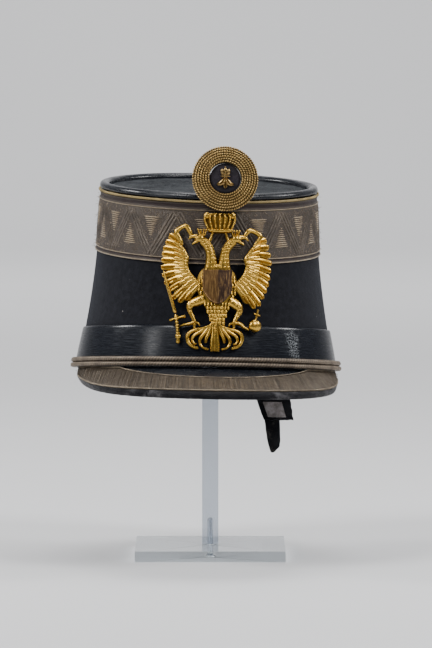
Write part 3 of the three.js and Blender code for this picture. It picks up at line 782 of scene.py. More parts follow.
def shield_material():
    """Worn brown metal with upright streaks, lighter on its left half."""
    material, shader, _, uv = new_material("Shield bronze")
    split = shader.node("ShaderNodeSeparateXYZ", {"Vector": uv})
    stretched = shader.node("ShaderNodeMapping", {"Vector": uv, "Scale": (1.0, 0.12, 1.0)}).outputs[0]
    streaks = shader.noise(stretched, 1.1, 6.0, 0.72)
    left = shader.flip(shader.ramp(split.outputs["X"], 8.5, 11.5))
    shade = shader.over((0.060, 0.033, 0.022), (0.20, 0.105, 0.032), left, 0.75)
    shade = shader.over(shade, (0.38, 0.22, 0.075), shader.ramp(streaks, 0.48, 0.66), 0.65)
    shade = shader.over(shade, (0.03, 0.016, 0.010), shader.ramp(streaks, 0.55, 0.35), 0.5)
    rough = shader.math("MULTIPLY_ADD", streaks, 0.35, 0.24)
    close_material(shader, streaks, 0.35, 0.25 * MM, {"Base Color": shade, "Roughness": rough},
                   Metallic=0.75)
    return material


def velvet_material():
    material, shader, place, _ = new_material("Dark velvet")
    pile = shader.noise(place, 2400.0, 4.0, 0.7)
    crushed = shader.ramp(shader.noise(place, 240.0, 5.0, 0.7), 0.35, 0.7)
    shade = shader.mix(crushed, (0.008, 0.006, 0.009), (0.024, 0.018, 0.026))
    close_material(shader, pile, 0.7, 0.3 * MM, {"Base Color": shade}, Roughness=0.95,
                   Sheen_Weight=0.2, Sheen_Roughness=0.35, Sheen_Tint=(0.6, 0.55, 0.7, 1))
    return material


def label_material():
    """A blank, soiled cloth patch."""
    material, shader, place, uv = new_material("Label cloth")
    split = shader.node("ShaderNodeSeparateXYZ", {"Vector": uv})
    warp = shader.math("SINE", shader.math("MULTIPLY", split.outputs["X"], TAU / 0.35))
    weft = shader.math("SINE", shader.math("MULTIPLY", split.outputs["Y"], TAU / 0.35))
    weave = shader.math("MULTIPLY", warp, weft)
    soil = shader.ramp(shader.noise(place, 190.0, 6.0, 0.7), 0.35, 0.66)
    shade = shader.mix(soil, (0.34, 0.31, 0.30), (0.15, 0.13, 0.125))
    close_material(shader, weave, 0.4, 0.12 * MM, {"Base Color": shade}, Roughness=0.85,
                   Sheen_Weight=0.2)
    return material


def acrylic_material(name="Clear acrylic", tint=(0.90, 0.94, 0.95), clear=1.0):
    """Clear polished acrylic, with faint scratches that only catch the light."""
    material, shader, place, _ = new_material(name)
    scratched = shader.node("ShaderNodeMapping", {"Vector": place, "Scale": (1.0, 14.0, 1.0)}).outputs[0]
    scratches = shader.ramp(shader.noise(scratched, 260.0, 2.0), 0.62, 0.7)
    rough = shader.math("MULTIPLY_ADD", scratches, 0.06, 0.015)
    haze = shader.mix(shader.noise(place, 30.0, 2.0), tint, tuple(0.94 * part for part in tint))
    close_material(shader, scratches, 0.02, 0.02 * MM, {"Roughness": rough, "Base Color": haze},
                   see_through=(0.88, 0.90, 0.92), Transmission_Weight=clear, IOR=1.49)
    return material


def steel_material():
    material, shader, place, _ = new_material("Bright steel")
    split = shader.node("ShaderNodeSeparateXYZ", {"Vector": place})
    thread = shader.math("SINE", shader.math("MULTIPLY", split.outputs["Z"], TAU / (0.7 * MM)))
    smears = shader.noise(place, 700.0, 3.0)
    rough = shader.math("MULTIPLY_ADD", smears, 0.2, 0.16)
    shade = shader.mix(smears, (0.95, 0.96, 0.97), (0.82, 0.82, 0.83))
    close_material(shader, thread, 0.4, 0.2 * MM, {"Base Color": shade, "Roughness": rough}, Metallic=0.35)
    return material


def floor_material():
    material, shader, place, _ = new_material("Studio floor")
    cloud = shader.noise(place, 2.0, 3.0)
    shade = shader.mix(cloud, (0.60, 0.60, 0.61), (0.64, 0.64, 0.645))
    close_material(shader, None, linked={"Base Color": shade}, Roughness=0.75)
    return material


# ---------------------------------------------------------------- body
def build_body():
    bm = bmesh.new()
    outside = [(z, 0.0) for z in (0.3, 2, 5, 8.5, 14, 20, 28, 34, 40, 46, 52, 58, 64, 70, 76, 79, 84, 92,
                                  100, 108, 114, BODY_TOP)]
    inside = [(z, -2.0) for z in (BODY_TOP, 100, 79, 52, 28, 8.5, 0.3)]

    def wobble(u, z, offset):
        around = Vector((3 * math.sin(TAU * u), 3 * math.cos(TAU * u), z * 0.03))
        return z, offset + 0.22 * noise.noise(around) - 0.12

    add_ring(bm, [(-0.2, -0.4)] + outside + inside + [(-0.2, -1.6)], 200, wobble)
    finish_piece("felt_body", bm, felt_material(), "black_felt", ["body_shell"])


def build_crown():
    rim = [
        (120.3, -0.4), (121.6, 0.05), (122.0, 0.7), (122.5, 1.25), (123.2, 1.5), (124.2, 1.38),
        (125.0, 1.0), (125.6, 0.25), (125.95, -0.8), (126.0, -1.8), (125.8, -2.9), (125.3, -3.9),
        (124.5, -4.7), (123.6, -5.0), (120.3, -5.0),
    ]

    def wobble(u, z, offset):
        around = Vector((5 * math.sin(TAU * u), 5 * math.cos(TAU * u), z * 0.2))
        return z + 0.12 * noise.noise(around), offset + 0.14 * noise.noise(around + Vector((9, 0, 0)))

    bm = bmesh.new()
    add_ring(bm, rim, 240, wobble)
    finish_piece("crown_ring", bm, lacquer_material(), "lacquered_leather", ["crown_rim"])

    bm = bmesh.new()
    rows = 44
    edge = -RIM_WIDTH - GAP
    reach = SECTIONS[-1][1] + edge - 0.5

    def place_top(u, v):
        share = abs(2 * v - 1)
        top = v >= 0.5
        ripple = noise.noise(Vector((7 * share * math.sin(TAU * u), 7 * share * math.cos(TAU * u), 3)))
        dome = 0.7 * (1 - share ** 2)
        z = RIM_TOP - 3.6 + dome + 0.25 * ripple if top else BODY_TOP + GAP
        return wall_point(TAU * u, z, edge - (1 - share) * reach) if share > 0.02 else crown_middle(z)

    def crown_middle(z):
        first = wall_point(0, z, edge - reach)
        second = wall_point(math.pi, z, edge - reach)
        return (first + second) / 2

    add_sheet(bm, 120, rows, place_top, ROUND, 160)
    finish_piece("crown_top", bm, crown_material(), "crown_leather", ["crown_disc"])


def build_band():
    band = [
        (0.5, GAP), (0.4, 0.9), (0.6, 1.4), (1.0, BAND_OUT), (5, BAND_OUT), (8.5, BAND_OUT), (14, BAND_OUT),
        (20, BAND_OUT), (25.6, BAND_OUT), (26.8, 1.4), (27.4, 1.1), (27.6, 0.7), (27.6, GAP), (14, GAP),
    ]

    def wobble(u, z, offset):
        around = Vector((4 * math.sin(TAU * u), 4 * math.cos(TAU * u), z * 0.05))
        shift = 0.12 * noise.noise(around) if offset > GAP else 0
        return z + (0.2 * noise.noise(around + Vector((5, 5, 5))) if z > 20 else 0), offset + shift

    bm = bmesh.new()
    add_ring(bm, band, 240, wobble)
    finish_piece("lower_band_lacquer", bm, worn_band_material(), "lacquered_leather", ["lower_band"])


# ---------------------------------------------------------------- lace
LACE_FIELD_TOP = 114.6
LACE_FIELD_FOOT = 83.8
LACE_PHASE = 29.0  # millimetres from the front to the middle of a down-pointing triangle
LACE_ROWS = 10
LACE_FIBRES = 5600  # short raised threads that fill the field
LACE_STRAYS = 150  # frayed threads at the lace's left and right


def lace_point(distance, z, out):
    return wall_point(angle_along(distance), z, LACE_OUT + out)


def add_lace_line(bm, start, end, half_width, rise, step=2.2):
    """Adds a rounded raised line on the lace between two (distance, height) corners."""
    run = math.hypot(end[0] - start[0], end[1] - start[1])
    side = (-(end[1] - start[1]) / run, (end[0] - start[0]) / run)
    steps = max(2, round(run / step))
    section = ((-1, -0.4), (-0.8, 0.55), (0, 1), (0.8, 0.55), (1, -0.4))

    def place(u, v):
        across, lift = section[round(v * 5) % 5]
        narrow = 0.0 if u in (0.0, 1.0) else 1.0
        x = start[0] + u * (end[0] - start[0]) + side[0] * across * half_width * narrow
        z = start[1] + u * (end[1] - start[1]) + side[1] * across * half_width * narrow
        return lace_point(x, z, lift * rise if narrow else -0.2 * rise)

    add_sheet(bm, steps, 5, place, run, 1.5)


def add_stray_thread(bm, angle, z, reach, rng):
    """Adds one frayed thread that stands off the lace."""
    root = wall_point(angle, z, LACE_OUT)
    out = (wall_point(angle, z, LACE_OUT + 1) - root).normalized()
    drift = Vector((0, rng.uniform(-0.6, 0.6), rng.uniform(-0.8, 0.9)))
    curl = Vector((rng.uniform(-0.5, 0.5), rng.uniform(-0.5, 0.5), rng.uniform(-0.9, 0.3)))
    add_loose_fibre(bm, root, 0.7 * out + drift, curl, reach * MM, 0.09)


def lace_line(start, end, half_width, rise):
    """A builder of one raised line, to be run later."""
    return functools.partial(add_lace_line, start=start, end=end, half_width=half_width, rise=rise)


def lace_triangle(middle_at, top, foot, wide_at_top, rng):
    """The builders of a triangle's level lines."""
    lines = []
    for row in range(LACE_ROWS):
        share = row / (LACE_ROWS - 1)
        z = top - share * (top - foot)
        half = 6.8 - 4.8 * share if wide_at_top else 1.4 + 5.2 * share
        half += rng.uniform(-0.4, 0.3)
        wave = rng.uniform(-0.15, 0.15)
        lines.append(lace_line((middle_at - half, z + wave), (middle_at + half, z - wave), 0.40, 0.6))
    return lines


def build_lace():
    rng = random.Random(11)
    period = sizes().lace_repeat / MM
    limit = ROUND / 2 - 1.0
    bm = bmesh.new()
    ground = [
        (LACE_BOTTOM, GAP), (LACE_BOTTOM, LACE_OUT), (81.3, LACE_OUT), (81.6, 0.7), (82.8, 0.7),
        (83.1, LACE_OUT), (92, LACE_OUT), (100, LACE_OUT), (108, LACE_OUT), (115.6, LACE_OUT), (116.2, 0.6),
        (118.2, 0.6), (118.7, LACE_OUT), (LACE_TOP, LACE_OUT), (LACE_TOP, GAP),
    ]
    add_ring(bm, ground, 240)
    finish_piece("lace_ground", bm, lace_material(), "metal_lace", ["lace_band"])

    triangles = []
    ribs = []
    first = math.ceil((-limit - LACE_PHASE) / period)
    last = math.floor((limit - LACE_PHASE) / period)
    for repeat in range(first, last + 1):
        down = LACE_PHASE + repeat * period
        triangles += lace_triangle(down, 109.2, 97.6, True, rng)
        up = down + period / 2
        if up < limit - 8:
            triangles += lace_triangle(up, 103.2, 91.2, False, rng)
        for foot, peak in ((down, up), (down + period, up)):
            if max(abs(foot), abs(peak)) > limit - 3:
                continue
            for shift in (-2.6, 0.0, 2.6):
                start = (foot + shift, LACE_FIELD_FOOT + 0.4)
                end = (peak + shift, LACE_FIELD_TOP - 0.4)
                ribs.append(lace_line(start, end, 0.85, 0.42))
    bm = gather(triangles)
    for line, half_width, rise in ((80.4, 0.5, 0.4), (83.5, 0.42, 0.55), (115.1, 0.42, 0.55)):
        add_ring(bm, [(line - half_width, LACE_OUT - 0.1), (line, LACE_OUT + rise),
                      (line + half_width, LACE_OUT - 0.1), (line, LACE_OUT - 0.2)], 360)
    finish_piece("lace_pattern", bm, thread_material(
        "Lace gold", (0.46, 0.375, 0.265), (0.17, 0.13, 0.095), 1.9), "metal_lace")
    finish_piece("lace_zigzag", gather(ribs), thread_material(
        "Lace ribs", (0.078, 0.060, 0.043), (0.028, 0.022, 0.018), 2.4, 0.5), "metal_lace")

    fibres = []
    for _ in range(LACE_FIBRES):
        distance = rng.uniform(-limit, limit)
        z = rng.uniform(LACE_FIELD_FOOT + 0.6, LACE_FIELD_TOP - 0.6)
        lean = rng.choice((1.05, -1.05, 0.5, -0.5))
        reach = rng.uniform(0.5, 0.95)
        start = (distance - reach * math.cos(lean), z - reach * math.sin(lean))
        end = (distance + reach * math.cos(lean), z + reach * math.sin(lean))
        fibres.append(lace_line(start, end, 0.30, 0.36))
    for _ in range(LACE_STRAYS):
        fibres.append(functools.partial(
            add_stray_thread, angle=rng.choice((-1, -1, 1)) * rng.uniform(1.2, 1.75),
            z=rng.uniform(LACE_BOTTOM + 1, LACE_TOP), reach=rng.uniform(1.0, 3.2), rng=rng))
    finish_piece("lace_texture", gather(fibres), thread_material(
        "Lace fibres", (0.21, 0.166, 0.119), (0.050, 0.039, 0.030), 2.5), "metal_lace")

    bm = bmesh.new()
    add_twisted_ring(bm, LACE_TOP + GAP + 0.9, 1.3, 0.9, 3, 0.56, 3.6, 5, 9)
    finish_piece("lace_edge_twist", bm, thread_material(
        "Edge thread", (0.36, 0.27, 0.12), (0.12, 0.09, 0.045), 2.2, hollow_shade=0.6),
        "gold_thread", ["lace_edge_cord"])


def build_cords():
    rng = random.Random(8)
    pitch = sizes().cord_twist / MM
    for node, height in (("chin_cord_lower", 1.9), ("chin_cord_upper", 5.3)):
        bm = bmesh.new()
        add_twisted_ring(bm, height, 2 * GAP + 1.2 + 1.5, 1.62, 4, 0.34, pitch, 7, 9, 0.7)
        for _ in range(110):
            angle = rng.uniform(-1.9, 1.9)
            root = wall_point(angle, height + rng.uniform(-1, 1), 4.7)
            ahead = wall_point(angle + 0.02, height, 4.7) - root
            ahead = ahead.normalized() * rng.choice((-1, 1)) + Vector(
                (rng.uniform(-0.6, 0.6), rng.uniform(-0.9, 0), rng.uniform(-0.7, 0.9)))
            reach = rng.uniform(0.8, 2.4) * MM
            add_loose_fibre(bm, root, ahead, Vector((0, 0, -0.4)), reach, 0.07)
        finish_piece(node.replace("chin", "twisted"), bm, thread_material(
            "Cord thread " + node[10:], (0.26, 0.205, 0.15), (0.085, 0.065, 0.05), 1.6, 0.5, hollow_shade=1.0),
            "twisted_cord", [node])


# ---------------------------------------------------------------- peak
def add_peak_sheet(bm, limit, steps, section, rows):
    """Adds a closed strip along the peak: section(angle, row) gives how far out and the lift."""
    def place(u, v):
        angle = -limit + 2 * limit * u
        row = round(v * rows) % rows
        if round(u * steps) in (0, steps):
            centre = [section(angle, each) for each in range(rows)]
            out = sum(pair[0] for pair in centre) / rows
            lift = sum(pair[1] for pair in centre) / rows
        else:
            out, lift = section(angle, row)
        return peak_point(angle, out, lift)

    return add_sheet(bm, steps, rows, place, 300, rows * 3.0)


def add_edge_braid(bm, edge_at, thickness, limit=82.0, turns=110, smooth=8):
    """Adds two fine threads laid round each other along one edge of the peak's strip."""
    steps = turns * smooth
    for strand in (0, 1):
        centres = []
        normals = []
        for i in range(steps + 1):
            angle = -limit + 2 * limit * i / steps
            turn = TAU * (turns * i / steps + strand / 2)
            middle_of = peak_point(angle, edge_at(angle), GAP + 0.95)
            up = (peak_point(angle, edge_at(angle), GAP + 1.95) - middle_of).normalized()
            out = (peak_point(angle, edge_at(angle) + 0.02, GAP + 0.95) - middle_of).normalized()
            reach = thickness * MM
            centres.append(middle_of + reach * (math.cos(turn) * up + math.sin(turn) * out))
            normals.append(up)
        add_tube(bm, centres, normals, [thickness] * (steps + 1), 5)


def build_peak():
    edge = 0.96
    tops = [edge * i / 14 for i in range(15)]
    section = [(out, 0.0) for out in tops] + [(edge, -PEAK_THICK)]
    section += [(out, -PEAK_THICK) for out in (0.7, 0.35, 0.0)]

    def leather(angle, row):
        out, lift = section[row]
        place = Vector((angle * 0.08, out * 3, 0))
        return out, lift + (0.12 * noise.noise(place) - 0.06 if lift == 0 else 0)

    bm = bmesh.new()
    add_peak_sheet(bm, 86, 160, leather, len(section))
    finish_piece("peak_leather", bm, lacquer_material(), "lacquered_leather", ["peak"])

    rng = random.Random(5)
    limit = 84.0
    threads = round(300 / (sizes().strip_thread / MM))
    inner_jitter = [rng.uniform(-0.012, 0.012) for _ in range(threads + 1)]
    outer_jitter = [rng.uniform(-0.012, 0.006) for _ in range(threads + 1)]
    heights = [rng.uniform(-0.14, 0.12) for _ in range(threads + 1)]
    columns = 4
    shares = (0.0, 0.0, 0.04, 0.12, 0.25, 0.4, 0.55, 0.7, 0.82, 0.92, 0.98, 1.0, 1.0)

    def strip(angle, row):
        column = round((angle + limit) / (2 * limit) * threads * columns)
        thread = min(column // columns, threads)
        phase = (column % columns) / columns
        inner = strip_inner(angle) + inner_jitter[thread]
        outer = strip_outer(angle) + outer_jitter[thread]
        share = shares[row]
        out = inner + (outer - inner) * share
        if row in (0, len(shares) - 1):
            return out, GAP
        rise = 0.85 * min(1.0, 4 * math.sqrt(share * (1 - share)) + 0.3)
        drift = 0.1 * noise.noise(Vector((angle * 0.2, share * 4, 0)))
        return out, GAP + rise + 0.30 * math.sin(math.pi * phase) - 0.2 + heights[thread] + drift

    bm = bmesh.new()
    add_peak_sheet(bm, limit, threads * columns, strip, len(shares))
    for angle, count in ((79.0, 26), (-81.0, 8)):
        for _ in range(count):
            root = peak_point(angle + rng.uniform(-3, 4), rng.uniform(0.35, 0.8), 0.9)
            ahead = Vector((rng.uniform(-1, 1), rng.uniform(-1.2, 0.2), rng.uniform(-0.2, 1))).normalized()
            bend = Vector((rng.uniform(-1, 1), rng.uniform(-1, 1), rng.uniform(-1, 1))) * 0.5
            reach = rng.uniform(1.0, 2.6) * MM
            add_loose_fibre(bm, root, ahead, bend, reach, 0.09)
    finish_piece("peak_thread_strip", bm, thread_material(
        "Strip thread", tuple(colours().thread), (0.062, 0.047, 0.034), 2.4, 0.55, streaks=0.95),
        "gold_thread", ["peak_lace"], 80)

    bm = bmesh.new()
    for edge_at, thickness in ((strip_outer, 0.36), (strip_inner, 0.26)):
        add_edge_braid(bm, edge_at, thickness)
    finish_piece("peak_strip_braid", bm, thread_material(
        "Braid thread", (0.23, 0.185, 0.13), (0.08, 0.062, 0.045), 2.4, 0.6), "gold_thread")

    rim = [
        (0.0, GAP), (0.0, 0.9), (0.13, 1.12), (0.4, 1.25), (0.65, 1.2), (0.85, 0.9), (1.0, 0.35),
        (1.12, -0.5), (1.14, -1.3), (1.08, -2.1), (1.0, -2.6), (0.86, -2.75), (0.78, -1.0), (0.78, GAP),
    ]

    def binding(angle, row):
        share, lift = rim[row]
        start = strip_outer(angle) + 0.015
        out = start + (1.0 - start) * share
        place = Vector((angle * 0.35, row * 0.35, 0))
        wrinkle = noise.noise(place)
        crease = noise.noise(place * 3) * 0.10
        return out + 0.004 * wrinkle, lift + (0.16 * wrinkle + crease if 0 < row < 13 else 0)

    bm = bmesh.new()
    add_peak_sheet(bm, 85, 420, binding, len(rim))
    finish_piece("peak_edge_binding", bm, binding_material(), "binding_leather", ["peak_binding"])


# ---------------------------------------------------------------- plates: shared pieces
ROUNDED = (
    (-1, 0), (-1, 0.3), (-0.8, 0.66), (-0.42, 0.93), (0, 1), (0.42, 0.93), (0.8, 0.66), (1, 0.3), (1, 0),
)
VANED = (
    (-1, 0), (-1, 0.35), (-0.82, 0.75), (-0.45, 0.86), (-0.2, 0.62), (0, 1),
    (0.2, 0.62), (0.45, 0.86), (0.82, 0.75), (1, 0.35), (1, 0),
)


def add_blade(bm, stations, base, section=ROUNDED, steps=10, tip=0.0, root=0.0, place_at=front_point,
              bright=1.0):
    """Adds a flat-backed bar: stations hold sideways, height, half width and rise."""
    layer = bm.verts.layers.float["relief"]
    rows = len(section)
    frames = []
    for i in range(steps + 1):
        u = i / steps
        x, h, w, t = spline(stations, u)
        ahead = spline(stations, u + 0.02)
        behind = spline(stations, u - 0.02)
        run = math.hypot(ahead[0] - behind[0], ahead[1] - behind[1]) or 1.0
        side = (-(ahead[1] - behind[1]) / run, (ahead[0] - behind[0]) / run)
        if tip and u > 1 - tip:
            w *= math.sqrt(max(0.0, 1 - ((u - 1 + tip) / tip) ** 2))
        if root and u < root:
            w *= math.sqrt(max(0.0, 1 - ((root - u) / root) ** 2))
        frames.append((x, h, w, t, side))

    def place(u, v):
        x, h, w, t, side = frames[round(u * steps)]
        across, rise = section[round(v * rows) % rows]
        if u in (0.0, 1.0):
            across, rise = 0.0, 0.4
        return place_at(x + side[0] * w * across, h + side[1] * w * across, base + rise * t)

    made = add_sheet(bm, steps, rows, place, 10, 4)
    # Relief: how far the section rises, times the brightness argument; the gilt paints shade where it is
    # low, so a low brightness paints the whole bar as if in shade.
    for vert, (_, v) in made.items():
        vert[layer] = bright * section[round(v * rows) % rows][1]


def add_knob(bm, x, h, out, size, place_at=front_point, bright=1.0):
    """Adds a small ball on a plate; its size runs sideways, up and outward."""
    layer = bm.verts.layers.float["relief"]
    made = bmesh.ops.create_icosphere(bm, subdivisions=3 if max(size) > 1.5 else 2, radius=1)
    # Relief: high on the ball's outer side, times the brightness argument, for the gilt's painted shade.
    for vert in made["verts"]:
        a, b, c = vert.co
        vert[layer] = bright * (0.35 + 0.65 * max(c, 0))
        vert.co = place_at(x + a * size[0], h + b * size[1], out + c * size[2])


# ---------------------------------------------------------------- eagle
# Outlines on the plate, sideways and height in millimetres.
LEFT_TIPS = (
    (-31.2, 86.8), (-34.5, 80.5), (-35.9, 75.3), (-36.4, 69.5), (-36.3, 62.4), (-34.6, 55), (-31.6, 48.2),
    (-26.6, 42.0), (-20.5, 43.5),
)
LEFT_ROOTS = (
    (-25.2, 80), (-22.4, 75.5), (-20.6, 71), (-21, 67), (-20.2, 63), (-18.2, 60), (-16, 57.5), (-13.5, 55),
    (-12, 52.5),
)
RIGHT_TIPS = (
    (33.1, 84.4), (35.4, 77.4), (36.8, 70), (36.3, 62.8), (35.2, 56), (33.4, 50), (30.8, 44.3),
    (27.1, 38.3), (20.5, 42),
)
RIGHT_ROOTS = (
    (25.2, 79.5), (22.4, 75), (19.8, 71), (20.8, 66.6), (20.2, 62.8), (18.6, 59.8), (16.4, 57.2),
    (14, 54.8), (12.4, 52.2),
)
NECKS = (
    ((-4.2, 60, 5.6, 2.8), (-3.8, 68, 4.0, 3.2), (-4.6, 75.6, 3.0, 3.0), (-7.0, 80.8, 3.0, 2.9),
     (-10.4, 83.7, 3.1, 2.8)),
    ((4.8, 60, 5.2, 2.8), (4.6, 68, 3.9, 3.2), (5.3, 75.4, 3.0, 3.0), (8.0, 80.6, 3.0, 2.9),
     (11.6, 83.7, 3.1, 2.8)),
)
BEAKS = (
    ((-13.2, 85.6, 1.8, 2.4), (-15.4, 85.9, 1.5, 2.2), (-17.4, 85.2, 1.0, 1.8), (-18.5, 83.6, 0.4, 1.2)),
    ((-12.6, 82.8, 1.3, 1.9), (-14.6, 81.9, 1.0, 1.7), (-16.4, 80.4, 0.5, 1.2)),
    ((14.6, 85.6, 1.8, 2.4), (17.2, 85.7, 1.5, 2.2), (19.4, 84.9, 1.0, 1.8), (20.7, 83.0, 0.4, 1.2)),
    ((14.2, 82.8, 1.3, 1.9), (16.2, 81.9, 1.0, 1.7), (18.0, 80.6, 0.5, 1.2)),
)
BENT_BARS = (
    ((-22.4, 79.6, 1.2, 1.8), (-24.8, 84.6, 1.5, 2.0), (-26.8, 88.4, 1.7, 2.2), (-23.6, 91.6, 1.6, 2.2),
     (-20.1, 92.4, 1.6, 2.2), (-17.8, 88.8, 1.4, 2.0), (-16.6, 85.2, 1.0, 1.6)),
    ((24.4, 79.6, 1.2, 1.8), (27.4, 83.2, 1.6, 2.0), (29.2, 86.4, 1.7, 2.2), (25.8, 89.2, 1.6, 2.2),
     (21.6, 90.4, 1.6, 2.2), (19.2, 88.0, 1.4, 2.0), (17.8, 85.2, 1.0, 1.6)),
)
RIBBONS = (
    ((-2.4, 90.0, 1.0, 1.8), (-3.4, 87.4, 0.8, 1.6), (-4.0, 85.2, 1.0, 1.6), (-5.2, 82.6, 1.3, 1.6)),
    ((4.8, 90.0, 1.0, 1.8), (6.0, 87.4, 0.8, 1.6), (6.6, 85.2, 1.0, 1.6), (8.0, 82.6, 1.3, 1.6)),
)
LEGS = (
    ((-7, 45.5, 3.2, 2.6), (-12.7, 43, 3.4, 2.9), (-17.4, 40.6, 2.6, 2.6), (-17.4, 36.4, 1.6, 2.2),
     (-15.2, 31.5, 1.3, 2.0), (-14.3, 28.2, 1.3, 2.0)),
    ((7, 44.5, 3.2, 2.6), (12.4, 41.2, 3.4, 2.9), (15.1, 37.6, 2.4, 2.6), (13.4, 33.4, 1.6, 2.2),
     (11.6, 30, 1.3, 2.0), (11.0, 27.4, 1.3, 2.0)),
)
CLAWS = (
    ((-14.8, 29.4, 1.3, 2.4), (-18.0, 28.0, 1.2, 2.6), (-21.4, 27.4, 1.0, 2.6), (-24.6, 26.0, 0.5, 2.4)),
    ((-14.4, 28.6, 1.2, 2.2), (-14.6, 26.4, 1.0, 2.0), (-13.8, 24.6, 0.4, 1.4)),
    ((-14.2, 29.2, 1.1, 2.2), (-12.0, 28.4, 0.9, 2.0), (-11.0, 26.6, 0.4, 1.4)),
    ((11.4, 29.0, 1.3, 2.4), (15.1, 28.6, 1.3, 2.4), (18.2, 26.2, 1.2, 2.6), (21.6, 24.4, 0.9, 2.6)),
    ((11.2, 28.2, 1.2, 2.2), (11.2, 26.2, 1.0, 2.0), (10.2, 24.6, 0.4, 1.4)),
    ((10.8, 29.0, 1.1, 2.2), (8.6, 28.2, 0.9, 2.0), (7.8, 26.6, 0.4, 1.4)),
)
SWORD = (
    (-34.9, 63.3, 0.5, 1.2), (-33.0, 56, 1.0, 1.6), (-29.8, 45, 1.1, 1.8), (-26.8, 34.6, 1.2, 1.9),
)
SWORD_HILT = (
    (-26.8, 34.6, 1.0, 2.0), (-26.0, 28, 1.1, 2.4), (-25.4, 21.5, 1.1, 2.2), (-25.0, 14.6, 1.5, 1.8),
)
SWORD_GUARD = (
    (-31.0, 29.9, 1.1, 2.0), (-28.0, 31.0, 0.9, 2.3), (-24.0, 32.2, 0.9, 2.3), (-20.2, 33.0, 1.1, 2.0),
)
TAIL_MIDDLE = -1.2
# Half of the tail, from its root outward: sideways from its middle, height, half width, rise.
TAIL_BLADES = (
    ((0.8, 31, 1.3, 1.8), (1.1, 22, 1.5, 2.0), (1.7, 15, 1.6, 2.0), (1.6, 9.9, 1.3, 1.7)),
    ((1.8, 29, 1.2, 1.7), (3.6, 23.2, 1.3, 1.8), (5.8, 18.6, 1.2, 1.8), (6.0, 15.4, 0.8, 1.5)),
    ((2.2, 28, 1.1, 1.7), (6.4, 22.8, 1.3, 1.8), (9.6, 18.6, 1.2, 1.8), (9.6, 14.8, 1.0, 1.7),
     (7.2, 12.2, 0.9, 1.6), (3.8, 11.4, 0.9, 1.6)),
    ((2.6, 27.4, 1.1, 1.7), (8.8, 23.4, 1.3, 1.8), (13.4, 20.6, 1.2, 1.8), (14.9, 17.8, 1.0, 1.7),
     (13.6, 15.2, 0.8, 1.6), (11.8, 15.0, 0.5, 1.4)),
    ((2.8, 27.0, 1.1, 1.7), (8.6, 24.8, 1.3, 1.8), (14.4, 23.6, 1.3, 1.9), (17.9, 20.4, 1.3, 1.9),
     (17.3, 16.0, 1.2, 1.8), (14.2, 12.9, 1.1, 1.8), (10.4, 12.0, 1.0, 1.7)),
)


def add_wing_plate(bm, tips, roots):
    """Adds the thin plate that joins a wing's feathers."""
    steps = 30

    def place_plate(u, v):
        share = min(max(u, 0.02), 0.98)
        tip, root = spline(tips, share), spline(roots, share)
        reach, out = ((0.0, 0.1), (0.0, 1.2), (0.8, 1.2), (0.8, 0.1))[round(v * 4) % 4]
        if u in (0.0, 1.0):
            reach, out = 0.4, 0.6
        return front_point(root[0] + reach * (tip[0] - root[0]), root[1] + reach * (tip[1] - root[1]), out)

    add_sheet(bm, steps, 4, place_plate, 40, 12)


def add_wing_feathers(bm, tips, roots, side, count):
    """Adds the long feathers, fanned from the arm to their tips."""
    for i in range(count):
        share = i / (count - 1)
        tip_x, tip_h = spline(tips, share)
        root_x, root_h = spline(roots, share)
        lift = 0.15 + 0.15 * (i % 2) + 0.045 * math.sin(3 * share)
        mid_x = (root_x + tip_x) / 2 - 0.26 * side * (0.5 - share)
        mid_h = (root_h + tip_h) / 2 + 0.9
        add_blade(bm, (
            (root_x, root_h, 1.35, 1.5), (mid_x, mid_h, 2.05, 1.6), (tip_x, tip_h, 2.3, 1.7),
        ), 0.5 + lift, VANED, 16, tip=0.26)


def add_wing_coverts(bm, tips, roots, side, count):
    """Adds two rows of short feathers over the roots of the long ones, and the arm's ridge."""
    rows = ((0.52, 1.5, 1.3, count), (0.28, 1.25, 1.3, count - 1))
    for row, (reach, half, rise, number) in enumerate(rows):
        for i in range(number):
            share = (i + 0.5) / number
            tip_x, tip_h = spline(tips, share)
            root_x, root_h = spline(roots, share)
            end_x, end_h = root_x + reach * (tip_x - root_x), root_h + reach * (tip_h - root_h)
            add_blade(bm, (
                (root_x, root_h, half * 0.9, rise), (end_x, end_h + 0.3, half * 1.15, rise),
            ), 1.2 + 0.4 * row, ROUNDED, 8, tip=0.5, bright=0.85)
    arm = [(x - 0.6 * side, h, 1.5, 1.7) for x, h in roots]
    add_blade(bm, arm, 1.6, ROUNDED, 26, tip=0.08, root=0.08)
    for i in range(17):
        x, h = spline(roots, i / 16)
        add_knob(bm, x - 0.6 * side, h, 3.1, (0.85, 0.85, 0.5), bright=0.9)


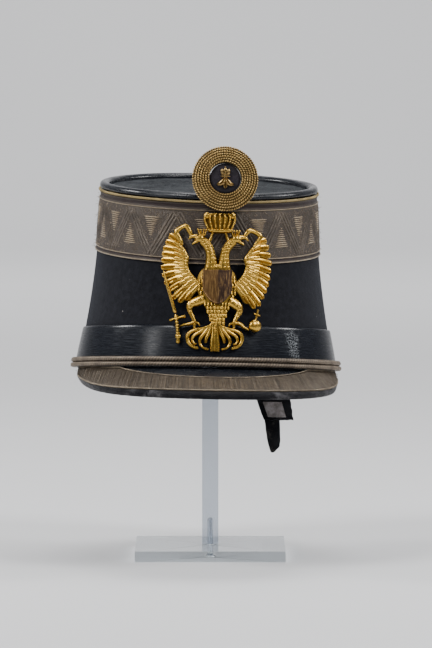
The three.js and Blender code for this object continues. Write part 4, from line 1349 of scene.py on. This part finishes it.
def add_large_crown(bm):
    middle_x = 1.6
    brim = ((-6.4, 90.0, 1.5, 3.0), (middle_x, 89.4, 1.6, 3.4), (10.0, 90.0, 1.5, 3.0))
    add_blade(bm, brim, 0.4, ROUNDED, 14, tip=0.06, root=0.06)
    for i in range(9):
        add_knob(bm, -5.6 + i * 1.85, 89.9, 3.3, (0.6, 0.75, 0.6))
    # The crown's cap has its relief scaled down: painted shade inside the arches.
    add_blade(bm, ((middle_x, 90, 7.4, 2.0), (middle_x, 94, 8.8, 2.6), (middle_x, 98.2, 9.6, 2.6),
                   (middle_x, 101.4, 8.4, 1.8)), 0.2, ROUNDED, 16, tip=0.15, bright=0.3)
    for side in (-1, 1):
        add_knob(bm, middle_x + side * 8.6, 99.4, 2.4, (2.0, 2.2, 1.6))
    for spread in (-1.0, -0.66, -0.33, 0.0, 0.33, 0.66, 1.0):
        stations = []
        for share in (0.0, 0.25, 0.5, 0.75, 1.0):
            swell = 7.4 + 3.0 * math.sin(0.62 * math.pi * share)
            closing = 1 - 0.22 * share ** 6
            stations.append((middle_x + spread * swell * closing, 90.5 + 10.6 * share, 0.75,
                             1.6 + 1.2 * math.sin(math.pi * share) * (1.2 - abs(spread) * 0.6)))
        add_blade(bm, stations, 1.6, ROUNDED, 14)
        for share in (0.2, 0.38, 0.56, 0.74, 0.9):
            x, h, _, rise = spline(stations, share)
            add_knob(bm, x, h, 1.6 + rise, (0.62, 0.62, 0.45))


def add_breast(bm):
    """The smooth breast and belly, under their feathers."""
    # Its relief is scaled down: painted shade under the feathers.
    add_blade(bm, ((0, 68, 4.5, 2.2), (0, 62, 11.5, 3.0), (0, 52, 13.2, 3.2), (0, 44, 10.2, 3.0),
                   (0, 37, 6.6, 2.8), (0, 29, 4.2, 2.4)), 0.0, ROUNDED, 20, tip=0.12, root=0.1, bright=0.55)


def body_feathers(rng):
    """The builders of small overlapping feathers, row by row, on the breast and the lower body."""
    makers = []
    rows = 16
    for row in range(rows):
        h = 66.0 - row * 2.5
        half = spline(((5.0,), (10.8,), (12.6,), (11.6,), (8.6,), (6.4,), (4.6,)), row / (rows - 1))[0]
        number = max(3, round(half * 2 / 2.1))
        for i in range(number):
            x = -half + (i + 0.5 * (1 + row % 2 * 0.6)) * 2 * half / number
            if abs(x) > half + 0.4 or (abs(x) < 8.2 and 42.5 < h < 64):
                continue
            out = 3.0 * math.sqrt(max(0.05, 1 - (x / (half + 2.5)) ** 2))
            feather = ((x, h + 1.4, 0.9, 0.5), (x * 1.02, h - 1.5, 1.15, 0.9))
            makers.append(functools.partial(
                add_blade, stations=feather, base=out - 0.3, steps=6, tip=0.55,
                bright=rng.uniform(0.75, 1.0)))
    return makers


def add_neck_feathers(bm):
    for stations in NECKS:
        for i in range(11):
            x, h, w, t = spline(stations, 0.08 + 0.8 * i / 10)
            for side in (-0.55, 0.05, 0.6):
                add_knob(bm, x + side * w, h + 0.5 * (side > 0), t * 0.95 + 0.1 - 0.3 * abs(side),
                         (0.8, 1.15, 0.5), bright=0.9)


def add_tail(bm):
    """The tail: a ridged stem between nested blades that curl back in as openwork scrolls."""
    for side in (-1, 1):
        for i, blade in enumerate(TAIL_BLADES):
            stations = [(TAIL_MIDDLE + side * x, h, w, t) for x, h, w, t in blade]
            add_blade(bm, stations, 0.4 + 0.15 * i, ROUNDED, 26, tip=0.06)
    stem = [(TAIL_MIDDLE, h, w, t) for h, w, t in ((32, 1.1, 2.4), (20, 0.9, 2.3), (9.6, 1.1, 1.9))]
    add_blade(bm, stem, 0.6, ROUNDED, 14, tip=0.06)
    for i in range(6):
        add_knob(bm, TAIL_MIDDLE, 32.5 - i * 1.9, 3.2 - i * 0.1, (1.2 - 0.06 * i, 0.9, 0.6))


def add_orb(bm):
    """The orb: a ball with two bands, and a cross on top."""
    add_knob(bm, 25.3, 27.2, 2.6, (4.3, 4.3, 3.2))
    girdle = ((21.0, 27.6, 0.5, 1.0), (25.3, 27.1, 0.6, 3.4), (29.6, 27.6, 0.5, 1.0))
    meridian = ((25.2, 27.4, 0.5, 3.2), (25.4, 31.8, 0.5, 1.6))
    upright = ((25.6, 30.6, 0.8, 1.8), (26.6, 34.8, 0.8, 1.8), (27.5, 38.8, 1.0, 1.8))
    crossbar = ((24.2, 35.6, 0.9, 1.8), (26.7, 34.8, 0.7, 1.8), (29.2, 34.0, 0.9, 1.8))
    for stations, base, steps, tip, root in (
            (girdle, 2.8, 12, 0.0, 0.0), (meridian, 2.8, 6, 0.0, 0.0),
            (upright, 0.6, 8, 0.2, 0.0), (crossbar, 0.6, 8, 0.2, 0.2)):
        add_blade(bm, stations, base, ROUNDED, steps, tip, root)


def add_head(bm, stations):
    """A neck, its head and eye, and the small crown above."""
    add_blade(bm, stations, 0.2, ROUNDED, 16, tip=0.1, bright=0.7)
    side = math.copysign(1, stations[-1][0])
    head_x, head_h = stations[-1][0] + 1.2 * side, stations[-1][1] + 0.6
    add_knob(bm, head_x, head_h, 1.9, (3.1, 2.5, 1.8))
    add_knob(bm, head_x + 1.0 * side, head_h + 0.9, 3.4, (0.65, 0.55, 0.4))
    crown_x, crown_h = (-9.9, 88.1) if side < 0 else (12.0, 87.7)
    for spread in (-1, -0.35, 0.35, 1):
        add_blade(bm, ((crown_x + spread * 1.5, crown_h - 1.8, 0.6, 1.8),
                       (crown_x + spread * 2.6, crown_h + 1.6, 0.7, 2.0)), 0.7, ROUNDED, 6, tip=0.3)
        add_knob(bm, crown_x + spread * 2.6, crown_h + 1.9, 2.4, (0.7, 0.7, 0.6))
    add_blade(bm, ((crown_x - 2.2, crown_h - 1.8, 0.7, 2.2), (crown_x + 2.2, crown_h - 1.8, 0.7, 2.2)), 0.8,
              ROUNDED, 6, tip=0.2, root=0.2)


def add_bars(bm):
    """Beaks, bent bars, ribbons, legs and claws."""
    for rows in (BEAKS, BENT_BARS, RIBBONS, LEGS, CLAWS):
        for stations in rows:
            add_blade(bm, stations, 0.4, ROUNDED, 16, tip=0.12, root=0.05)
    for stations in LEGS:
        for i in range(6):
            x, h, _, t = spline(stations, 0.1 + 0.1 * i)
            add_knob(bm, x, h - 0.4, t + 0.3, (0.95, 0.95, 0.5), bright=0.9)


def add_sword(bm):
    for stations in (SWORD, SWORD_HILT, SWORD_GUARD):
        add_blade(bm, stations, 1.2, ROUNDED, 14, tip=0.06, root=0.06)
    for i in range(7):
        x, h, _, _ = spline(SWORD_HILT, 0.12 + 0.09 * i)
        add_knob(bm, x, h, 3.3, (1.2, 0.5, 0.5))
    add_knob(bm, -25.2, 19.6, 2.2, (1.9, 1.7, 1.3))


def build_eagle():
    rng = random.Random(3)
    count = sizes().feathers
    makers = [add_breast, add_tail, add_neck_feathers, add_bars, add_sword, add_large_crown, add_orb]
    makers += [functools.partial(add_head, stations=stations) for stations in NECKS]
    for tips, roots, side in ((LEFT_TIPS, LEFT_ROOTS, -1), (RIGHT_TIPS, RIGHT_ROOTS, 1)):
        makers.append(functools.partial(add_wing_plate, tips=tips, roots=roots))
        for builder in (add_wing_feathers, add_wing_coverts):
            makers.append(functools.partial(builder, tips=tips, roots=roots, side=side, count=count))
    makers += body_feathers(rng)
    finish_piece("eagle_plate", gather(makers, 1), gilt_material(), "gilt_brass", ["eagle"], 42)

    bm = bmesh.new()
    back = BREAST_RIDGE + GAP + 0.7
    top, foot, half = 63.6, 39.6, 9.7
    shoulder = foot + (top - foot) * 0.42
    outline = [(-half, top), (-half * 0.5, top - 0.5), (0, top - 0.1), (half * 0.5, top - 0.5), (half, top)]
    outline += [(half, top - (top - shoulder) * i / 4) for i in range(1, 5)]
    for i in range(1, 16):
        share = i / 16
        outline.append(tuple(
            (1 - share) ** 2 * a + 2 * share * (1 - share) * b + share ** 2 * c
            for a, b, c in ((half, 0, -half), (shoulder, 2 * foot - shoulder + 2.4, shoulder))))
    outline += [(-half, shoulder + (top - shoulder) * i / 4) for i in range(4)]
    count = len(outline)
    centre_h = (top + foot) / 2 + 1.5
    loops = ((1.0, 0.0), (1.0, 0.7), (0.985, 1.1), (0.95, 1.35), (0.93, 1.25), (0.9, 1.25), (0.7, 1.45),
             (0.45, 1.6), (0.2, 1.68), (0.0, 1.7))

    def place(u, v):
        x, h = outline[round(u * count) % count]
        size, out = loops[max(0, round(v * (len(loops))) - 1)]
        if v == 0.0:
            size = 0.0
        dent = 0.16 * noise.noise(Vector((x * size * 0.25, h * 0.25, 2))) if size < 0.9 else 0.0
        return front_point(x * size, centre_h + (h - centre_h) * size, back + out + dent)

    add_sheet(bm, count, len(loops), place, 20, 24)
    layer = bm.loops.layers.uv.verify()
    inverse = HAT.inverted()
    for face in bm.faces:
        for loop in face.loops:
            flat = inverse @ loop.vert.co
            loop[layer].uv = (flat.x + 10, flat.z)
    finish_piece("shield_plate", bm, shield_material(), "shield_bronze", ["eagle_shield"])


# ---------------------------------------------------------------- cockade
COCKADE_RADIUS = 22
COCKADE_INNER = 10.4
COCKADE_HEIGHT = 123.3
COCKADE_SIDE = 4.6
COCKADE_BACK = 4.4


def cockade_point(x, h, out):
    """A point of the cockade: sideways and up from its middle, and out from its back."""
    lean = math.atan(FRONT_SLOPE)
    y = -102 + FRONT_SLOPE * (COCKADE_HEIGHT - 10) - (COCKADE_BACK + out) * math.cos(lean)
    z = COCKADE_HEIGHT + (COCKADE_BACK + out) * math.sin(lean)
    return hat_point(COCKADE_SIDE + x, y + h * math.sin(lean), z + h * math.cos(lean))


def cockade_round(turn, radius, out):
    return cockade_point(radius * math.cos(turn), radius * math.sin(turn), out)


def dome_height(radius):
    share = min(max((radius - COCKADE_INNER) / (COCKADE_RADIUS - COCKADE_INNER), 0), 1)
    return 1.2 + 4.4 * math.sqrt(1 - share * share)


def build_cockade():
    rng = random.Random(21)
    profile = [(COCKADE_INNER + 0.2, 0.0)]
    profile += [(COCKADE_INNER + 0.2 + share * (COCKADE_RADIUS - COCKADE_INNER - 1.0), None)
                for share in (0.0, 0.2, 0.4, 0.6, 0.8, 0.93, 1.0)]
    profile.append((COCKADE_RADIUS - 0.8, 0.0))
    count = len(profile)

    def place(u, v):
        radius, out = profile[round(v * count) % count]
        if out is None:
            out = dome_height(radius) - 1.1
        return cockade_round(TAU * u, radius, out)

    beads = []
    rows = sizes().purl_rows
    pitch = (COCKADE_RADIUS - COCKADE_INNER) / rows
    for row in range(rows):
        radius = COCKADE_INNER + pitch * (row + 0.5)
        number = round(TAU * radius / 1.62)
        height = dome_height(radius) - 0.62
        for i in range(number):
            turn = TAU * (i + rng.uniform(-0.06, 0.06)) / number + row * 0.4
            centre = cockade_round(turn, radius, height + rng.uniform(-0.08, 0.08))
            inward = cockade_round(turn, radius - 1, dome_height(radius - 1)) - cockade_round(
                turn, radius, dome_height(radius))
            around = cockade_round(turn + 0.01, radius, height) - cockade_round(turn - 0.01, radius, height)
            lean = around.normalized() + 0.6 * inward.normalized()
            size = (0.88 * MM, 0.54 * MM, 0.8 * MM)
            beads.append(functools.partial(add_bead, centre=centre, size=size, across=inward, along=lean))
    bm = gather(beads)
    add_sheet(bm, 96, count, place, 100, 20)
    purl = thread_material("Gold purl", (0.50, 0.335, 0.125), (0.19, 0.118, 0.042), 2.6, 0.9, hollow_shade=1.0)
    finish_piece("cockade_purl", bm, purl, "gold_purl", ["cockade_rings"], 70)

    bm = bmesh.new()
    outer = COCKADE_INNER - GAP
    levels = [(0.0, 0.0), (outer, 0.0), (outer, 2.4), (outer - 0.4, 3.1), (outer - 1.2, 3.4), (7.0, 3.5),
              (5.0, 3.55), (3.0, 3.6), (1.5, 3.6), (0.0, 3.6)]

    def place_disc(u, v):
        radius, out = levels[round(v * (len(levels) - 1))]
        crumple = noise.noise(Vector((radius * math.cos(TAU * u), radius * math.sin(TAU * u), 0)) * 0.5)
        return cockade_round(TAU * u, radius, out + (0.12 * crumple - 0.1 if out > 3 else 0))

    add_sheet(bm, 72, len(levels) - 1, place_disc, 60, 20)
    finish_piece("cockade_velvet", bm, velvet_material(), "dark_velvet", ["cockade_disc"])

    bm = new_part()
    for side in (-1, 0, 1):
        lean = math.radians(40 * side)
        curl = math.radians(40 * side)
        leaf = []
        for reach, half, rise, turn in (
                (-0.4, 0.6, 1.0, 0.0), (2.2, 1.5, 1.6, -0.1), (5.0, 1.5, 1.6, 0.0), (7.3, 0.7, 1.1, 0.35)):
            bent = lean + curl * turn
            leaf.append((math.sin(bent) * reach, -math.cos(bent) * reach, half, rise))
        add_blade(bm, leaf, 3.8, VANED, 16, tip=0.3, place_at=cockade_point)
    add_blade(bm, ((0, -0.4, 1.0, 1.5), (0, 2.8, 1.1, 1.6)), 3.8, ROUNDED, 6, place_at=cockade_point)
    for height, half in ((1.1, 3.4), (2.5, 2.9)):
        add_blade(bm, ((-half, height, 0.6, 1.4), (half, height, 0.6, 1.4)), 4.1, ROUNDED, 8, tip=0.2,
                  root=0.2, place_at=cockade_point)
    for spread, height in ((-2.2, 4.3), (0.0, 5.1), (2.2, 4.3)):
        add_knob(bm, spread, height, 4.9, (1.15, 1.9, 0.9), cockade_point)
    add_knob(bm, 0, 7.1, 4.9, (0.6, 0.6, 0.6), cockade_point)
    dulled = gilt_material("Ornament gilt", dull=0.6)
    finish_piece("cockade_leaves", bm, dulled, "gilt_brass", ["cockade_ornament"])


# ---------------------------------------------------------------- loose strap
# Left and right edge, how far back, height, and its turn in degrees, from the top down.
FLAP = (
    (30, 50, 81.1, 16, 33), (36, 57, 74, -1, 25), (40.8, 63.1, 70, -20, 16), (43, 64.5, 69, -27, 8),
    (45.2, 65.4, 68, -33, 0),
)
TONGUE = (
    (45, 55.6, 72, -23, 12), (46, 56.3, 70.2, -34.5, 4), (47.9, 56.7, 69.6, -46.7, 0),
    (49.1, 56, 69.3, -51.5, 0), (50.4, 52.2, 69, -55.3, 0),
)
LABEL = ((44.2, 57.2, 68.6, -20.5, 8), (46.1, 58.7, 67.75, -25.75, 8), (48, 60.2, 66.9, -31, 8))


def build_strap():
    leather = binding_material("Strap leather", rubbed=(0.08, 0.08, 0.085))
    worn = binding_material("Tongue leather", rubbed=(0.10, 0.09, 0.08))
    for name, rows, thick, ragged, material, slot, node in (
            ("torn_flap", FLAP, 1.5, 0.5, leather, "strap_leather", "strap_flap"),
            ("torn_tongue", TONGUE, 1.5, 0.35, worn, "strap_leather", "strap_tongue"),
            ("blank_label", LABEL, 0.5, 0.12, label_material(), "label_cloth", "strap_label")):
        bm = bmesh.new()
        across = 14
        faces = 2 * across + 2
        steps = 48

        def place(u, v, rows=rows, thick=thick, ragged=ragged):
            left, right, y, z, turn = spline(rows, u)
            left += ragged * noise.noise(Vector((u * 9, 1, 0)))
            right += ragged * noise.noise(Vector((u * 9, 7, 0)))
            row = round(v * faces) % faces
            front = row <= across
            share = (row / across) if front else 1 - (row - across - 1) / across
            share = min(max(share, 0), 1)
            slant = ((right - left) / 2) * math.tan(math.radians(turn))
            fray = ragged * 1.6 * noise.noise(Vector((share * 6, 3, 5))) * max(0, 8 * u - 7)
            crease = 0.3 * ragged * noise.noise(Vector((share * 3, u * 8, 2)))
            depth = thick / 2 if u in (0.0, 1.0) else (0.0 if front else thick)
            x = left + (right - left) * share
            return hat_point(x, y + slant * (1 - 2 * share) + depth + crease, z + fray)

        add_sheet(bm, steps, faces, place, 60, 2 * 22)
        finish_piece(name, bm, material, slot, [node])


# ---------------------------------------------------------------- stand and stage
def dress_stand():
    acrylic = acrylic_material()
    post = acrylic_material("Post acrylic", (0.60, 0.65, 0.72), 0.8)
    steel = steel_material()
    for name, material in (("stand_base", acrylic), ("stand_post", post), ("crown_support", acrylic),
                           ("stand_screw", steel), ("cockade_stem", steel)):
        node = bpy.data.objects[name]
        for place in node.material_slots:
            place.material = material


FLOOR_REACH = 7.0
COVE_START = 4.2  # the floor begins to rise into the backdrop, behind a camera on that side
COVE_RADIUS = 1.4
CAMERA_LENS = 290.9
CAMERA_SIDE, CAMERA_AWAY, CAMERA_HEIGHT = 3.86, 3500, 373.3  # millimetres
CAMERA_DIP = 3.57  # degrees
# Lights: name, place, what it looks at, size in metres, power in watts.
SOFTBOXES = (
    ("left_softbox", (-1.15, -1.05, 1.9), (0, 0, 0.18), 0.75, 34),
    ("right_softbox", (1.25, -0.95, 1.7), (0, 0, 0.18), 0.65, 28),
    ("top_softbox", (0.1, 0.55, 1.9), (0, 0.1, 0.1), 1.0, 26),
    ("left_edge_light", (-1.75, 0.45, 1.25), (0, 0, 0.2), 0.42, 22),
    ("right_edge_light", (1.75, 0.35, 1.25), (0, 0, 0.2), 0.42, 19),
    ("front_gleam", (-1.7, -0.9, 1.0), (0, 0, 0.15), 0.38, 5),
    ("backdrop_softbox", (0.0, 3.0, 2.6), (0, 5.2, 0.4), 2.0, 110),
)


def build_stage():
    bm = bmesh.new()
    bmesh.ops.create_grid(bm, x_segments=1, y_segments=120, size=1)
    for vert in bm.verts:
        along = -FLOOR_REACH + (vert.co.y + 1) / 2 * (2 * FLOOR_REACH + 4.0)
        turn = min(max(0.0, along - COVE_START) / COVE_RADIUS, math.pi / 2)
        y = min(along, COVE_START) + COVE_RADIUS * math.sin(turn)
        z = COVE_RADIUS * (1 - math.cos(turn)) + max(0.0, along - COVE_START - COVE_RADIUS * math.pi / 2)
        vert.co = Vector((vert.co.x * FLOOR_REACH, y, z))
    bmesh.ops.recalc_face_normals(bm, faces=bm.faces)
    mesh = bpy.data.meshes.new("studio_floor")
    bm.to_mesh(mesh)
    bm.free()
    mesh.materials.append(floor_material())
    mesh.polygons.foreach_set("use_smooth", [True] * len(mesh.polygons))
    floor = bpy.data.objects.new("studio_floor", mesh)
    bpy.context.scene.collection.objects.link(floor)

    world = bpy.data.worlds.new("Studio air")
    world.use_nodes = True
    air = world.node_tree.nodes["Background"].inputs
    air["Color"].default_value = (0.90, 0.93, 1.0, 1)
    air["Strength"].default_value = 0.19
    bpy.context.scene.world = world
    for name, place, aim, size, power in SOFTBOXES:
        light = bpy.data.lights.new(name, "AREA")
        light.shape = "SQUARE"
        light.size = size
        light.energy = power
        lamp = bpy.data.objects.new(name, light)
        lamp.location = place
        lamp.rotation_euler = (Vector(aim) - Vector(place)).to_track_quat("-Z", "Y").to_euler()
        bpy.context.scene.collection.objects.link(lamp)

    camera = bpy.data.cameras.new("front_view")
    camera.lens = CAMERA_LENS
    camera.sensor_width = 36.0
    camera.clip_end = 30.0
    viewer = bpy.data.objects.new("front_view", camera)
    viewer.location = (BASE.x + CAMERA_SIDE * MM, BASE.y - CAMERA_AWAY * MM, CAMERA_HEIGHT * MM)
    viewer.rotation_euler = (math.radians(90 - CAMERA_DIP), 0, 0)
    bpy.context.scene.collection.objects.link(viewer)
    bpy.context.scene.camera = viewer


# ---------------------------------------------------------------- operators and panel
class ShakoBody(bpy.types.Operator):
    """Builds the felt body, its lower band and its leather crown"""
    bl_idname = "shako.body"
    bl_label = "Body and crown"

    def execute(self, context):
        build_body()
        build_band()
        build_crown()
        return {"FINISHED"}


class ShakoLace(bpy.types.Operator):
    """Builds the lace, its pattern and its edge cord"""
    bl_idname = "shako.lace"
    bl_label = "Lace"

    def execute(self, context):
        build_lace()
        return {"FINISHED"}


class ShakoCords(bpy.types.Operator):
    """Builds the two twisted cords above the peak"""
    bl_idname = "shako.cords"
    bl_label = "Cords"

    def execute(self, context):
        build_cords()
        return {"FINISHED"}


class ShakoPeak(bpy.types.Operator):
    """Builds the peak, its strip of gold threads and its binding"""
    bl_idname = "shako.peak"
    bl_label = "Peak"

    def execute(self, context):
        build_peak()
        return {"FINISHED"}


class ShakoEagle(bpy.types.Operator):
    """Builds the eagle plate and its blank shield"""
    bl_idname = "shako.eagle"
    bl_label = "Eagle plate"

    def execute(self, context):
        build_eagle()
        return {"FINISHED"}


class ShakoCockade(bpy.types.Operator):
    """Builds the cockade: rows of purl, velvet middle and gilt leaves"""
    bl_idname = "shako.cockade"
    bl_label = "Cockade"

    def execute(self, context):
        build_cockade()
        return {"FINISHED"}


class ShakoStrap(bpy.types.Operator):
    """Builds the loose strap inside the back and its blank label"""
    bl_idname = "shako.strap"
    bl_label = "Loose strap"

    def execute(self, context):
        build_strap()
        return {"FINISHED"}


class ShakoStage(bpy.types.Operator):
    """Gives the stand its materials and sets the floor, lights and camera"""
    bl_idname = "shako.stage"
    bl_label = "Stand and stage"

    def execute(self, context):
        dress_stand()
        build_stage()
        return {"FINISHED"}


OPERATORS = (ShakoBody, ShakoLace, ShakoCords, ShakoPeak, ShakoEagle, ShakoCockade, ShakoStrap, ShakoStage)


class ShakoPanel(bpy.types.Panel):
    """Lists the shako's settings and its builders"""
    bl_idname = "VIEW3D_PT_shako"
    bl_label = "Shako"
    bl_space_type = "VIEW_3D"
    bl_region_type = "UI"
    bl_category = "Shako"

    def draw(self, context):
        for group in (context.scene.shako_sizes, context.scene.shako_colours):
            for name in group.__annotations__:
                self.layout.prop(group, name)
        for operator in OPERATORS:
            self.layout.operator(operator.bl_idname)


CLASSES = (ShakoSizes, ShakoColours) + OPERATORS + (ShakoPanel,)


def register():
    for each in CLASSES:
        bpy.utils.register_class(each)
    bpy.types.Scene.shako_sizes = bpy.props.PointerProperty(type=ShakoSizes)
    bpy.types.Scene.shako_colours = bpy.props.PointerProperty(type=ShakoColours)


def unregister():
    del bpy.types.Scene.shako_colours
    del bpy.types.Scene.shako_sizes
    for each in reversed(CLASSES):
        bpy.utils.unregister_class(each)


def main():
    register()
    for make_group in (make_grain_group, make_wear_group, make_dust_group, make_thread_group):
        make_group()
    for operator in OPERATORS:
        group, name = operator.bl_idname.split(".")
        getattr(getattr(bpy.ops, group), name)()


if __name__ == "__main__":
    main()
